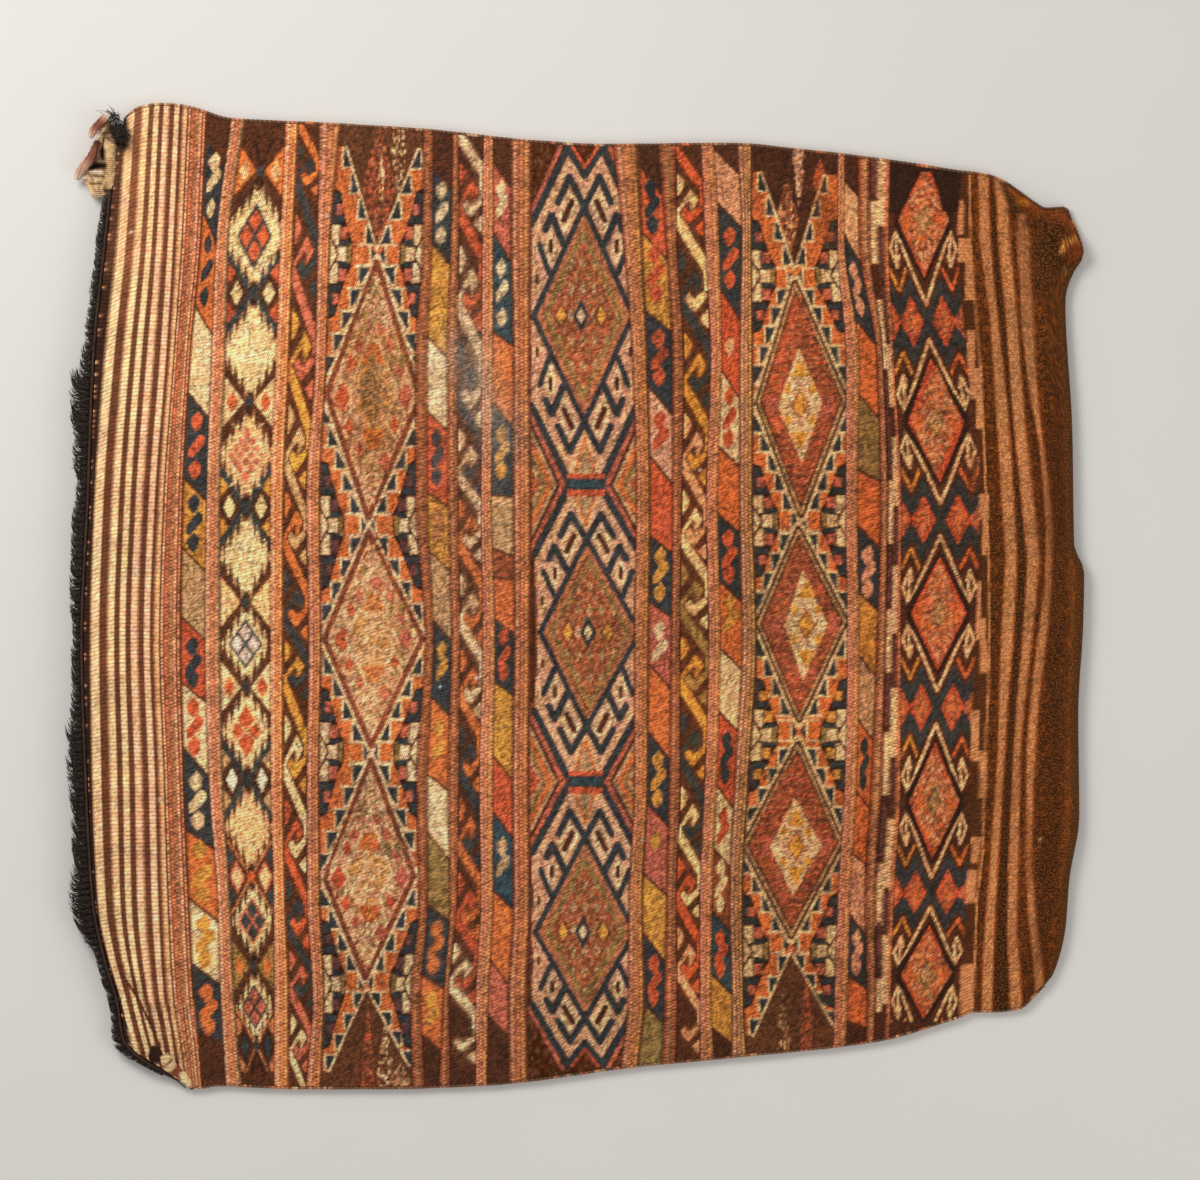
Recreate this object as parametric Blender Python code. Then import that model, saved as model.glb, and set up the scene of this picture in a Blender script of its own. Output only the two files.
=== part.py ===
"""A slack woven storage sack lying on its back, as the photograph shows it from above.

One long web of wool is folded in half. Its fold is the bottom of the sack, at +X, and its two
ends are the lips of the mouth, at -X. The long sides are overcast together, at +Y and -Y. Each lip
has a binding and a fringe of goat hair, and a cream flap with two torn tie ends hangs out of the
mouth at its +Y corner.

The outline and the lines of the weave are stated in the photograph's pixels, x to the right and y
down, and LENGTH and WIDTH say how large that picture is.
"""

import math

import bpy
import numpy as np

# Driving dimensions, in metres
LENGTH = 1.031  # over the fringe and the pulled-out corner
WIDTH = 0.992  # over the side seams
LOFT = 0.047  # top of the slack front above the floor, at its middle
LIP = 0.031  # top of the front lip above the floor, at its middle
FOLD = 0.017  # height of the bottom fold, at its middle
CLOTH = 0.004  # warps and wefts together
RELIEF = 0.0009  # how far the brocaded bands stand above the plain ones
SEAM = 0.007  # thickness of the overcast side seams
BINDING = 0.004  # thickness of the binding on each lip
HAIR = 0.0034  # thickness of the fringe where it leaves the binding
GAP = 0.0004  # between pieces that touch

# The picture's pixels that the object fills: left, right, top and bottom
PICTURE = (59.0, 1090.0, 101.0, 1093.0)
ACROSS = LENGTH / (PICTURE[1] - PICTURE[0])
DOWN = WIDTH / (PICTURE[3] - PICTURE[2])
MIDDLE = ((PICTURE[0] + PICTURE[1]) / 2, (PICTURE[2] + PICTURE[3]) / 2)

# The side seams, x and y, from the mouth to the fold
TOP_SEAM = (
    (125, 113), (140, 104), (158, 101), (175, 102), (195, 106), (230, 116), (330, 121), (425, 127),
    (530, 138), (600, 142), (730, 141), (800, 147), (870, 155), (960, 168), (984, 172), (1006, 185),
    (1027, 200), (1046, 206), (1062, 208), (1077, 226), (1090, 247),
)
BOTTOM_SEAM = (
    (190, 1093), (217, 1088), (300, 1091), (380, 1091), (492, 1087), (570, 1078), (625, 1070),
    (730, 1060), (873, 1044), (950, 1022), (975, 1014), (996, 1014), (1024, 1008), (1045, 990),
)

# Where lines of the weave run that start parallel on the loom. Each has its x at mid-height, then
# y and x from the top seam to the bottom one. The first is the front lip and the last is the fold.
LINES = (
    (84, ((113, 125), (150, 118), (240, 107.5), (360, 95.5), (500, 90), (640, 84), (780, 88),
          (900, 95), (960, 107), (1000, 119), (1040, 127), (1060, 141), (1078, 162), (1093, 190))),
    (150, ((104, 183), (240, 173), (360, 166), (500, 156), (640, 150), (780, 155), (900, 158),
           (1000, 160), (1060, 176), (1092, 199))),
    (204, ((112, 232), (240, 216), (360, 211), (500, 206), (640, 204), (780, 208), (900, 217),
           (1000, 220), (1089, 228))),
    (322, ((121, 342), (240, 331), (360, 327), (500, 321), (640, 322), (780, 320), (900, 321),
           (1091, 324))),
    (482, ((133, 483), (360, 481), (640, 482), (900, 480), (1000, 475), (1087, 475))),
    (634, ((142, 612), (240, 623), (360, 632), (640, 634), (780, 634), (900, 628), (1069, 620))),
    (757, ((144, 753), (360, 753), (640, 757), (780, 749), (900, 743), (1058, 748))),
    (847, ((151, 838), (240, 837), (360, 845), (640, 847), (900, 837), (1047, 833))),
    (975, ((168, 964), (240, 957), (360, 967), (500, 979), (640, 975), (900, 967), (1018, 957))),
    (1022, ((178, 992), (240, 999), (360, 1011), (500, 1023), (640, 1022), (780, 1014), (900, 1005),
            (1013, 1003))),
    (1083, ((247, 1090), (258, 1084), (274, 1073), (300, 1066), (430, 1073), (545, 1075),
            (572, 1085), (623, 1084), (715, 1079), (816, 1080), (880, 1070), (929, 1066),
            (977, 1053), (990, 1045))),
)
LIP_LINE = 84
FOLD_LINE = 1083

# Borders of the bands at mid-height, and 1 where the band to the right is brocaded and stands proud
BANDS = (
    (84, 0), (99, 0), (115, 0), (132, 0), (150, 0), (166, 0), (182, 1), (204, 0), (221, 1),
    (245, 1), (270, 0), (284, 1), (308, 0), (322, 1), (356, 1), (391, 1), (425, 0), (434, 1),
    (451, 0), (460, 1), (482, 0), (495, 1), (513, 0), (531, 1), (565, 1), (600, 1), (634, 0),
    (650, 1), (670, 0), (680, 1), (708, 0), (720, 1), (741, 0), (757, 1), (787, 1), (817, 1),
    (847, 0), (860, 1), (876, 0), (901, 1), (938, 1), (975, 0), (1001, 0), (1022, 0), (1040, 0),
    (1056, 0), (1068, 0), (1076, 0), (1083, 0),
)
ROWS = 32
BACK_STEP = 2  # the plain back has a column of points for every so many of the front
BACK_INSET = 0.0025  # how far its edges keep inside the front's, as a share of the width
ARC_STEPS = 4

# How far the hair reaches past the binding, in pixels, by y along the mouth
REACH = (
    (200, 7), (240, 9), (360, 12), (400, 25), (430, 22), (500, 15), (550, 18), (640, 11), (700, 13),
    (765, 22), (820, 18), (925, 26), (955, 9), (1000, 9), (1045, 11), (1085, 7),
)
TUFT = 0.014  # width of a lock of hair
HAIR_END = 0.905  # v where the front lip loses its hair, by the flap
STITCH = 0.0105  # pitch of the overcasting

# The flap's outline in pixels: x of its left edge, x of its right edge, and y
FLAP = (
    (119, 102, 110), (129, 101, 111), (137, 99, 112), (147, 96, 115), (158, 94, 116), (169, 90, 115),
    (179, 86, 114), (188, 89, 108), (198, 93, 97),
)
FLAP_THICKNESS = 0.0024
TIE_RADIUS = 0.0042
UPPER_TIE = ((112, 116, 0.0150), (104, 118, 0.0160), (96, 124, 0.0157), (90, 133, 0.0130))
LOWER_TIE = ((98, 145, 0.0140), (90, 157, 0.0147), (81, 169, 0.0130), (74, 182, 0.0095))


def smooth(at, xs, ys):
    """A curve through the points (xs, ys), at each x in at, that stays between close points."""
    xs = np.asarray(xs, float)
    ys = np.asarray(ys, float)
    steps = np.diff(ys) / np.diff(xs)
    lean = np.zeros(len(xs))
    same = steps[:-1] * steps[1:] > 0
    lean[1:-1][same] = 2 * steps[:-1][same] * steps[1:][same] / (steps[:-1] + steps[1:])[same]
    lean[0] = steps[0]
    lean[-1] = steps[-1]
    i = np.clip(np.searchsorted(xs, at, side="right") - 1, 0, len(xs) - 2)
    wide = xs[i + 1] - xs[i]
    t = (at - xs[i]) / wide
    inside = np.clip(t, 0, 1)
    rise = inside**2 * (3 - 2 * inside)
    lead = inside * (1 - inside) ** 2
    trail = inside**2 * (inside - 1)
    value = ys[i] + (ys[i + 1] - ys[i]) * rise + wide * (lead * lean[i] + trail * lean[i + 1])
    return value + wide * (np.minimum(t, 0) * lean[i] + np.maximum(t - 1, 0) * lean[i + 1])


def seam_y(seam, x):
    points = np.array(seam, float)
    return smooth(x, points[:, 0], points[:, 1])


def line_x(line, y):
    points = np.array(LINES, dtype=object)[line][1]
    points = np.array(points, float)
    return smooth(y, points[:, 0], points[:, 1])


def between_lines(s, values):
    """values holds one array per line of the weave. This is their value at s, linear between."""
    names = np.array([line[0] for line in LINES], float)
    i = np.clip(np.searchsorted(names, s, side="right") - 1, 0, len(names) - 2)
    t = (s - names[i]) / (names[i + 1] - names[i])
    stack = np.array(values)
    if stack.ndim == 1:
        return stack[i] * (1 - t) + stack[i + 1] * t
    rows = np.arange(len(s))
    return stack[i, rows] * (1 - t) + stack[i + 1, rows] * t


def picture_of(s, v):
    """The picture's x and y of line s of the weave, at v from 0 on the bottom seam to 1 on the top."""
    first = between_lines(s, [line[1][0][1] for line in LINES])
    last = between_lines(s, [line[1][-1][1] for line in LINES])
    inset = (SEAM + GAP) / DOWN
    high = seam_y(TOP_SEAM, first) + inset
    low = seam_y(BOTTOM_SEAM, last) - inset
    y = low + (high - low) * v
    x = between_lines(s, [line_x(k, y) for k in range(len(LINES))])
    return x, y


def bump(x, y, middle, size):
    return np.exp(-(((x - middle[0]) / size) ** 2) - ((y - middle[1]) / size) ** 2)


def ridge(x, y, start, end, half_width):
    """1 along the line from start to end, falling away over half_width and past both ends."""
    along = np.array(end, float) - start
    long = math.hypot(*along)
    along = along / long
    t = (x - start[0]) * along[0] + (y - start[1]) * along[1]
    off = (x - start[0]) * along[1] - (y - start[1]) * along[0]
    past = np.maximum(np.maximum(-t, t - long), 0)
    return np.exp(-((off / half_width) ** 2) - (past / half_width) ** 2)


def folds(x, y, s, v):
    """The creases and soft waves of the front, in metres up."""
    lip = np.exp(-(s - LIP_LINE) / 70)
    edge = np.minimum(v, 1 - v)
    pucker = np.exp(-edge / 0.06) * np.minimum(edge / 0.02, 1)
    up = 0.0022 * lip * np.sin(y / 9.5 + 1.2 * np.sin(y / 61))
    up = up + 0.0018 * pucker * np.sin(x / 12 + 1.5 * np.sin(x / 83))
    up = up + 0.0016 * np.sin(x / 67 + y / 143) * np.sin(y / 89 - x / 211)
    up = up + 0.0012 * np.exp(-((s - 1030) / 38) ** 2) * np.sin(s / 5.5 + y / 160)
    up = up * np.minimum(edge / 0.03, 1)
    up = up + 0.0060 * ridge(x, y, (120, 965), (180, 1072), 9)
    up = up - 0.0040 * ridge(x, y, (139, 965), (193, 1062), 9)
    up = up + 0.0050 * ridge(x, y, (985, 190), (1058, 222), 13)
    up = up - 0.0035 * bump(x, y, (1040, 250), 22)
    return up + 0.0105 * bump(x, y, (1076, 247), 15)


def front_z(x, y, s, v):
    """Height of the front's outer face over the floor."""
    u = (s - LIP_LINE) / (FOLD_LINE - LIP_LINE)
    crown = smooth(u, (0, 0.14, 0.45, 0.8, 0.94, 1), (LIP, LOFT * 0.93, LOFT, LOFT * 0.86, LOFT * 0.6, FOLD))
    side = np.clip(np.minimum(v, 1 - v) / 0.30, 0, 1)
    shared = 1 - (1 - side) ** 2.6
    low = 2 * CLOTH + GAP
    return low + (crown - low) * shared + np.maximum(folds(x, y, s, v), -0.2 * (crown - low) * shared)


def to_world(x, y, z):
    return np.stack([(x - MIDDLE[0]) * ACROSS, (MIDDLE[1] - y) * DOWN, z + 0 * x], axis=-1)


def fold_radius(v):
    """Radius of the bottom fold, and of its picture, at each v."""
    s = np.full(len(v), float(FOLD_LINE))
    x, y = picture_of(s, v)
    return front_z(x, y, s, v) / 2


def inset_x(s, v):
    """How far a point moves from the fold in the picture, so that the fold itself is the outline."""
    share = np.clip((s - 960) / (FOLD_LINE - 960), 0, 1)
    return fold_radius(v) * share**2 / ACROSS


def front_points(s, v, proud=0.0):
    x, y = picture_of(s, v)
    z = front_z(x, y, s, v) + proud * np.minimum(np.minimum(v, 1 - v) / 0.02, 1)
    return to_world(x - inset_x(s, v), y, z)


def row_shares():
    """v of each row, closer together near both seams."""
    t = np.linspace(0, 1, ROWS + 1)
    return t - 0.11 * np.sin(2 * math.pi * t)


def proud_at(column):
    """Half the step at a border, and the whole of it inside a brocaded band."""
    here = BANDS[column][1]
    before = BANDS[column - 1][1] if column else 0
    return RELIEF * (here + before) / 2


def web_layers():
    """Points of the outer and the inner face, column by column from the front lip round to the back."""
    v = row_shares()
    radius = fold_radius(v)
    outer = []
    inner = []
    for column, (s, _) in enumerate(BANDS):
        points = front_points(np.full(len(v), float(s)), v, proud_at(column))
        outer.append(points)
        inner.append(np.column_stack([points[:, :2], points[:, 2] - proud_at(column) - CLOTH]))
    start = outer[-1]
    for step in range(1, ARC_STEPS + 1):
        turn = math.pi * step / (ARC_STEPS + 1)
        for layer, r in ((outer, radius), (inner, radius - CLOTH)):
            layer.append(np.column_stack([start[:, 0] + r * math.sin(turn), start[:, 1],
                                          radius + r * math.cos(turn)]))
    for step, (s, _) in enumerate(BANDS[::-BACK_STEP]):
        inside = BACK_INSET * min(step, 2) / 2
        points = front_points(np.full(len(v), float(s)), inside + v * (1 - 2 * inside))
        outer.append(np.column_stack([points[:, :2], np.zeros(len(v))]))
        inner.append(np.column_stack([points[:, :2], np.full(len(v), CLOTH)]))
    return np.array(outer), np.array(inner)


def two_faced(outer, inner):
    """Vertices and faces of a sheet from its two faces, each a grid of points, closed at its rim."""
    columns, rows = outer.shape[:2]
    count = columns * rows
    vertices = np.concatenate([outer.reshape(-1, 3), inner.reshape(-1, 3)])
    faces = []
    for i in range(columns - 1):
        for j in range(rows - 1):
            a = i * rows + j
            faces.append((a, a + rows, a + rows + 1, a + 1))
            faces.append((count + a + 1, count + a + rows + 1, count + a + rows, count + a))
    rim = [i * rows for i in range(columns)]
    rim += [(columns - 1) * rows + j for j in range(1, rows)]
    rim += [i * rows + rows - 1 for i in range(columns - 2, -1, -1)]
    rim += list(range(rows - 2, 0, -1))
    for a, b in zip(rim, rim[1:] + rim[:1]):
        faces.append((a, count + a, count + b, b))
    return vertices, faces


def tube(path, radius, sides, wrap=0.0, flat=1.0, twist=0.0):
    """Vertices and faces of a round cord along path. wrap swells it at every other ring."""
    path = np.asarray(path, float)
    ahead = np.gradient(path, axis=0)
    ahead /= np.linalg.norm(ahead, axis=1)[:, None]
    side = np.cross(ahead, (0.0, 0.0, 1.0))
    side /= np.linalg.norm(side, axis=1)[:, None]
    up = np.cross(side, ahead)
    size = np.broadcast_to(radius, len(path)) * (1 - wrap * (np.arange(len(path)) % 2))
    rings = []
    for k in range(sides):
        turn = 2 * math.pi * k / sides + twist * np.arange(len(path))
        outward = np.cos(turn)[:, None] * side + flat * np.sin(turn)[:, None] * up
        rings.append(path + size[:, None] * outward)
    vertices = np.array(rings).transpose(1, 0, 2).reshape(-1, 3)
    faces = []
    for i in range(len(path) - 1):
        for k in range(sides):
            a = i * sides + k
            b = i * sides + (k + 1) % sides
            faces.append((a, b, b + sides, a + sides))
    faces.append(tuple(reversed(range(sides))))
    faces.append(tuple(range((len(path) - 1) * sides, len(path) * sides)))
    return vertices, faces


def cut(points, pitch):
    """The points, with each straight stretch between two of them cut into parts of about pitch."""
    made = [points[:1]]
    for a, b in zip(points, points[1:]):
        parts = max(1, round(float(np.linalg.norm(b[:2] - a[:2])) / pitch))
        made.append(a + (b - a) * (np.arange(1, parts + 1) / parts)[:, None])
    return np.concatenate(made)


def beside(line, distance):
    """The line, moved to its left in the floor's plane by distance, parallel to each stretch."""
    ahead = np.diff(line[:, :2], axis=0)
    ahead /= np.linalg.norm(ahead, axis=1)[:, None]
    left = np.column_stack([-ahead[:, 1], ahead[:, 0]])
    before = np.concatenate([left[:1], left])
    after = np.concatenate([left, left[-1:]])
    corner = (before + after) / (1 + (before * after).sum(axis=1))[:, None]
    moved = np.array(line)
    moved[:, :2] += corner * np.broadcast_to(distance, len(line))[:, None]
    return moved


def seam_path(v, side):
    s = np.array([band[0] for band in BANDS], float)
    edge = cut(front_points(s, np.full(len(s), float(v))), STITCH)
    path = beside(edge, side * (SEAM / 2 + GAP))[1:-1]
    path[:, 2] = CLOTH + GAP / 2
    return path


def mouth_edge(pitch, start, end):
    """The front lip from the bottom seam to the top one: x, y, z and v at each point."""
    v = row_shares()
    points = front_points(np.full(len(v), float(LIP_LINE)), v)
    edge = cut(np.column_stack([points, v]), pitch)
    return edge[(edge[:, 3] >= start) & (edge[:, 3] <= end)]


def binding_path(front):
    edge = mouth_edge(1.0, 0.0, HAIR_END if front else 1.0)
    path = beside(edge, BINDING / 2 + 1.5 * GAP)[:, :3]
    path[:, 2] = edge[:, 2] - CLOTH / 2 if front else CLOTH / 2 + GAP / 2
    return path[1:-1]


def tuft_reach(v, y):
    """Length of the hair past the binding, with each tuft a little longer or shorter."""
    points = np.array(REACH, float)
    ragged = 1.0 + 0.20 * np.sin(y * 0.47) * np.sin(y * 0.113 + 1) + 0.12 * np.sin(y * 0.91)
    return smooth(y, points[:, 0], points[:, 1]) * ragged * ACROSS


def fringe_layers(front):
    """Upper and lower faces of the hair, from the binding out to the tips."""
    edge = mouth_edge(TUFT, 0.02, HAIR_END)
    v = edge[:, 3]
    _, y = picture_of(np.full(len(v), float(LIP_LINE)), v)
    reach = tuft_reach(v, y) * (1.0 if front else 0.72)
    middle = np.clip(np.minimum(v, 1 - v) / 0.2, 0, 1)
    wave = middle * (0.0011 * np.sin(y / 4.1) + 0.0009 * np.sin(y / 11.3 + 2))
    upper = []
    lower = []
    for share, thick, droop in ((0.0, 1.0, 0.0), (0.55, 0.85, 0.12), (1.0, 0.35, 0.35)):
        points = beside(edge, BINDING + 2.3 * GAP + reach * share)
        height = np.full(len(v), CLOTH / 2 + GAP / 2)
        if front:
            height = edge[:, 2] - CLOTH / 2
            height = height - droop * np.maximum(height - 0.0085, 0) + wave * share
        upper.append(np.column_stack([points[:, :2], height + HAIR * thick / 2]))
        lower.append(np.column_stack([points[:, :2], height - HAIR * thick / 2]))
    return np.array(upper), np.array(lower)


def flap_layers():
    """The cream flap, with three soft creases that run down it."""
    rows = np.array(FLAP, float)
    upper = []
    for share in np.linspace(0, 1, 6):
        x = rows[:, 1] + (rows[:, 2] - rows[:, 1]) * share
        y = rows[:, 0]
        z = 0.0128 + 0.0022 * np.sin(x / 2.9 + y / 7.5) - 0.0030 * (1 - share) + 0 * y
        upper.append(to_world(x, y, z))
    upper = np.array(upper)[::-1]
    lower = upper - np.array([0, 0, FLAP_THICKNESS])
    return upper, lower


def tie_path(points, steps=11):
    points = np.array(points, float)
    t = np.linspace(0, 1, len(points))
    at = np.linspace(0, 1, steps)
    x, y, z = (smooth(at, t, points[:, k]) for k in range(3))
    return to_world(x, y, z)


def material(name, colour, roughness):
    made = bpy.data.materials.new(name)
    made.use_nodes = True
    shader = made.node_tree.nodes["Principled BSDF"]
    shader.inputs["Base Color"].default_value = (*colour, 1)
    shader.inputs["Roughness"].default_value = roughness
    shader.inputs["Metallic"].default_value = 0.0
    return made


def facing_out(vertices, faces):
    """The faces, turned over if they face inwards."""
    volume = 0.0
    for face in faces:
        for b, c in zip(face[1:-1], face[2:]):
            volume += np.dot(vertices[face[0]], np.cross(vertices[b], vertices[c]))
    return faces if volume > 0 else [tuple(reversed(face)) for face in faces]


def place(name, shape, finish, middle):
    vertices, faces = shape
    faces = facing_out(vertices, faces)
    mesh = bpy.data.meshes.new(name)
    mesh.from_pydata((vertices - middle).tolist(), [], faces)
    mesh.materials.append(material(name + "_finish", *finish))
    made = bpy.data.objects.new(name, mesh)
    bpy.context.scene.collection.objects.link(made)


def pieces():
    """The shape and the finish of every piece, by name."""
    hair = ((0.014, 0.008, 0.006), 0.45)
    wool = ((0.36, 0.13, 0.07), 0.9)
    cream = ((0.62, 0.45, 0.28), 0.9)
    return {
        "woven_web": (two_faced(*web_layers()), wool),
        "side_seam_far": (tube(seam_path(1, 1), SEAM / 2, 6, wrap=0.22), wool),
        "side_seam_near": (tube(seam_path(0, -1), SEAM / 2, 6, wrap=0.22), wool),
        "mouth_binding_front": (tube(binding_path(True), BINDING / 2, 5), hair),
        "mouth_binding_back": (tube(binding_path(False), BINDING / 2, 5), hair),
        "mouth_fringe_front": (two_faced(*fringe_layers(True)), hair),
        "mouth_fringe_back": (two_faced(*fringe_layers(False)), hair),
        "corner_flap": (two_faced(*flap_layers()), cream),
        "tie_end_upper": (tube(tie_path(UPPER_TIE), TIE_RADIUS, 7, flat=0.6, twist=0.35), cream),
        "tie_end_lower": (tube(tie_path(LOWER_TIE), TIE_RADIUS, 7, flat=0.6, twist=0.35), cream),
    }


def main():
    for old in list(bpy.data.objects):
        bpy.data.objects.remove(old, do_unlink=True)
    made = pieces()
    points = np.concatenate([shape[0] for shape, _ in made.values()])
    middle = (points.min(axis=0) + points.max(axis=0)) / 2
    middle[2] = points[:, 2].min()
    for name, (shape, finish) in made.items():
        place(name, shape, finish, middle)


main()
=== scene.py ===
"""Dresses the flat-woven sack: its patterned front in the weave's own cells, the plain back, the
overcast seams, the haired mouth and the cream flap, lit softly and seen from straight above.

The pattern is drawn in the photograph's pixels, x to the right and y down, and one pixel is 1 mm.
"""

import math

import bpy
import numpy as np
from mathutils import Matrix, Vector


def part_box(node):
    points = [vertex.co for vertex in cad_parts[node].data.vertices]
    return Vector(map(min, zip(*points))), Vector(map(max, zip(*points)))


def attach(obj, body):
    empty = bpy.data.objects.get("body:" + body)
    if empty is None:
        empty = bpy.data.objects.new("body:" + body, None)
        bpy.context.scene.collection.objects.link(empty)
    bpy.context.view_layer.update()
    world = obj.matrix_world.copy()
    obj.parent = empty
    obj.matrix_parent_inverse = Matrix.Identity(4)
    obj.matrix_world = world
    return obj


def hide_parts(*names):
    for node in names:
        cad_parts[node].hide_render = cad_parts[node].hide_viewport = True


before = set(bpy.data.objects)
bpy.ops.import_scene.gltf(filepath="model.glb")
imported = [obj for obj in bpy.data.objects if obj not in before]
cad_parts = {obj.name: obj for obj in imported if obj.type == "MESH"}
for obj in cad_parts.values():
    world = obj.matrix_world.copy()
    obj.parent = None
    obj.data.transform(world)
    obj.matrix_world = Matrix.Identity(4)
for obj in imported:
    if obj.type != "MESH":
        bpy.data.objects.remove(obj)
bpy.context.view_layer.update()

# The wool's dyes as red, green and blue
DYES = {
    "cream": (230, 184, 136), "white": (238, 212, 184), "ecru": (240, 190, 144), "tan": (184, 138, 96),
    "pink": (216, 148, 112), "peach": (228, 164, 118), "pearl": (218, 172, 158), "rose": (186, 94, 72),
    "red": (194, 84, 52), "orange": (208, 106, 56), "salmon": (206, 122, 82), "gold": (202, 134, 60),
    "amber": (206, 138, 84), "rust": (148, 76, 48), "brown": (78, 42, 27), "dark": (46, 26, 19),
    "umber": (77, 32, 4), "navy": (52, 54, 56), "teal": (50, 68, 74), "purple": (100, 58, 54),
    "olive": (142, 108, 62), "brick": (124, 64, 44), "clay": (174, 104, 68), "grey": (128, 112, 92),
    "bare": (208, 150, 130), "soil": (100, 57, 36), "shell": (242, 180, 142), "peat": (46, 18, 2),
    "loam": (124, 66, 20), "russet": (166, 82, 52), "honey": (226, 150, 64),
}
CODE = {name: index for index, name in enumerate(DYES)}

# The seams and the weave's lines, as the photograph shows them
TOP_SEAM = (
    (125, 113), (140, 104), (158, 101), (175, 102), (195, 106), (230, 116), (330, 121), (425, 127),
    (530, 138), (600, 142), (730, 141), (800, 147), (870, 155), (960, 168), (984, 172), (1006, 185),
    (1027, 199.5), (1040, 205.5), (1055, 205), (1062.5, 204.5), (1068, 214), (1078, 228), (1090, 247),
)
BOTTOM_SEAM = (
    (190, 1093), (217, 1088), (300, 1091), (380, 1091), (492, 1087), (570, 1078), (625, 1070),
    (730, 1060), (873, 1044), (950, 1022), (975, 1014), (996, 1014), (1024, 1008), (1045, 990),
)
# Heights at which the borders of the bands were measured, and their x there. Each border is named by
# its x at 640.
LEVELS = (130, 240, 360, 500, 640, 780, 900, 1000, 1060)
BORDERS = {
    90.5: (125.5, 117.5, 104.8, 94.5, 90.5, 92.2, 97.5, 121, 149.5),
    122.4: (155.6, 149.4, 138.2, 127.5, 122.4, 126.1, 128.2, 141.5, 164),
    150.5: (179, 173.8, 166.5, 155.5, 150.5, 155.8, 159, 165, 178),
    182: (207, 202, 191, 184, 182, 185, 190, 195, 201),
    204.5: (229.5, 216, 211, 206, 204.5, 208.5, 217.5, 220.5, 224),
    221: (244, 229, 226, 220.5, 221, 223.5, 230.5, 235, 240),
    270: (285, 280, 275.5, 270, 270, 270.5, 273.5, 274, 274),
    284: (299, 294, 290, 284.5, 284, 284, 286, 290, 290),
    308.5: (319, 317.5, 315, 306, 308.5, 306.5, 307, 312.5, 308),
    322: (342, 331, 327, 321, 322, 320, 321, 325, 323),
    425: (423, 422, 415, 415, 425, 416, 418.5, 410, 411),
    434: (433.5, 432.5, 428, 428, 434, 428, 428, 421, 424),
    451: (452.5, 450.5, 446.5, 447.5, 451, 447.5, 449.5, 443, 440),
    460: (458.5, 459, 457.5, 458, 460, 459, 457, 449, 450),
    482.5: (483.5, 482, 481.5, 481, 482.5, 479, 480.5, 475.5, 475.5),
    495.5: (493.5, 493.5, 493, 491.5, 495.5, 493.5, 493.5, 488.5, 487.5),
    513.5: (510, 510, 512.5, 512.5, 513.5, 511.5, 512.5, 507.5, 508),
    531: (533, 532, 531, 532, 531, 530, 531, 528, 529),
    634: (611, 623, 632, 636, 634, 634, 628.5, 627.5, 621),
    649.5: (639, 643, 648, 651, 649.5, 648.5, 643.5, 645.5, 640),
    670.5: (655.5, 665.5, 671.5, 672, 670.5, 668.5, 666, 663.5, 661),
    680: (676, 677, 684, 682, 680, 680.5, 676.5, 677.5, 676),
    708.5: (700, 704.5, 710.5, 706, 708.5, 704.5, 699.5, 699.5, 700),
    720.5: (713, 719.5, 722, 718, 720.5, 717.5, 712.5, 711.5, 714),
    741.5: (736, 741.5, 739, 739, 741.5, 734, 729, 731.5, 731),
    757.5: (753, 752, 753.5, 753.5, 757.5, 749.5, 743.5, 744.5, 748),
    847: (838, 837.5, 845.5, 845.5, 847, 844.5, 837.5, 834, 833),
    859.5: (845, 844.5, 859.5, 857.5, 859.5, 857, 850.5, 848, 846),
    876.5: (857, 858.5, 876.5, 880, 876.5, 870.5, 864.5, 866.5, 865),
    901: (891, 889, 894, 901.5, 901, 901, 894, 891, 888),
    975.5: (966, 957.5, 967.5, 979.5, 975.5, 968.5, 967, 958, 955),
    988: (972, 972, 979, 990, 988, 988, 976, 978, 978),
    1001: (979, 982, 993, 999, 1001, 1000, 987, 980, 978),
    1022: (988, 999, 1011, 1023, 1022, 1014, 1005, 1003, 1001),
    1038: (1002, 1018, 1025, 1043, 1038, 1027, 1025, 1022, 1016),
}
# Where the lines nearest to the lip end in the lower corner: x at y 1088
CORNER = {90.5: 191.5, 122.4: 195.5, 150.5: 200}
# The lines at the lip and at the bottom fold, each as y and x, and their names in the weave
LIP = (
    (113, 125), (150, 118), (240, 107.5), (360, 95.5), (500, 90), (640, 84), (780, 88), (900, 95),
    (960, 107), (1000, 119), (1040, 126), (1050, 134), (1060, 147), (1070, 164.5), (1078, 178), (1093, 194),
)
FOLD = (
    (247, 1090), (251, 1089.5), (256, 1087), (263, 1081), (274, 1073), (300, 1066), (430, 1073),
    (545, 1075), (572, 1085), (623, 1084), (715, 1079), (816, 1080), (880, 1070), (929, 1066),
    (977, 1053), (990, 1045),
)
LIP_LINE = 84
FOLD_LINE = 1083
# The line from which the front makes room for the bottom fold
FOLD_START = 960
# Where a line of the weave comes near the upper and the lower seam, and the seams' width over it
NEAR_TOP = 120.0
NEAR_BOTTOM = 1075.0
SEAM_INSET = 4.6


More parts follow.
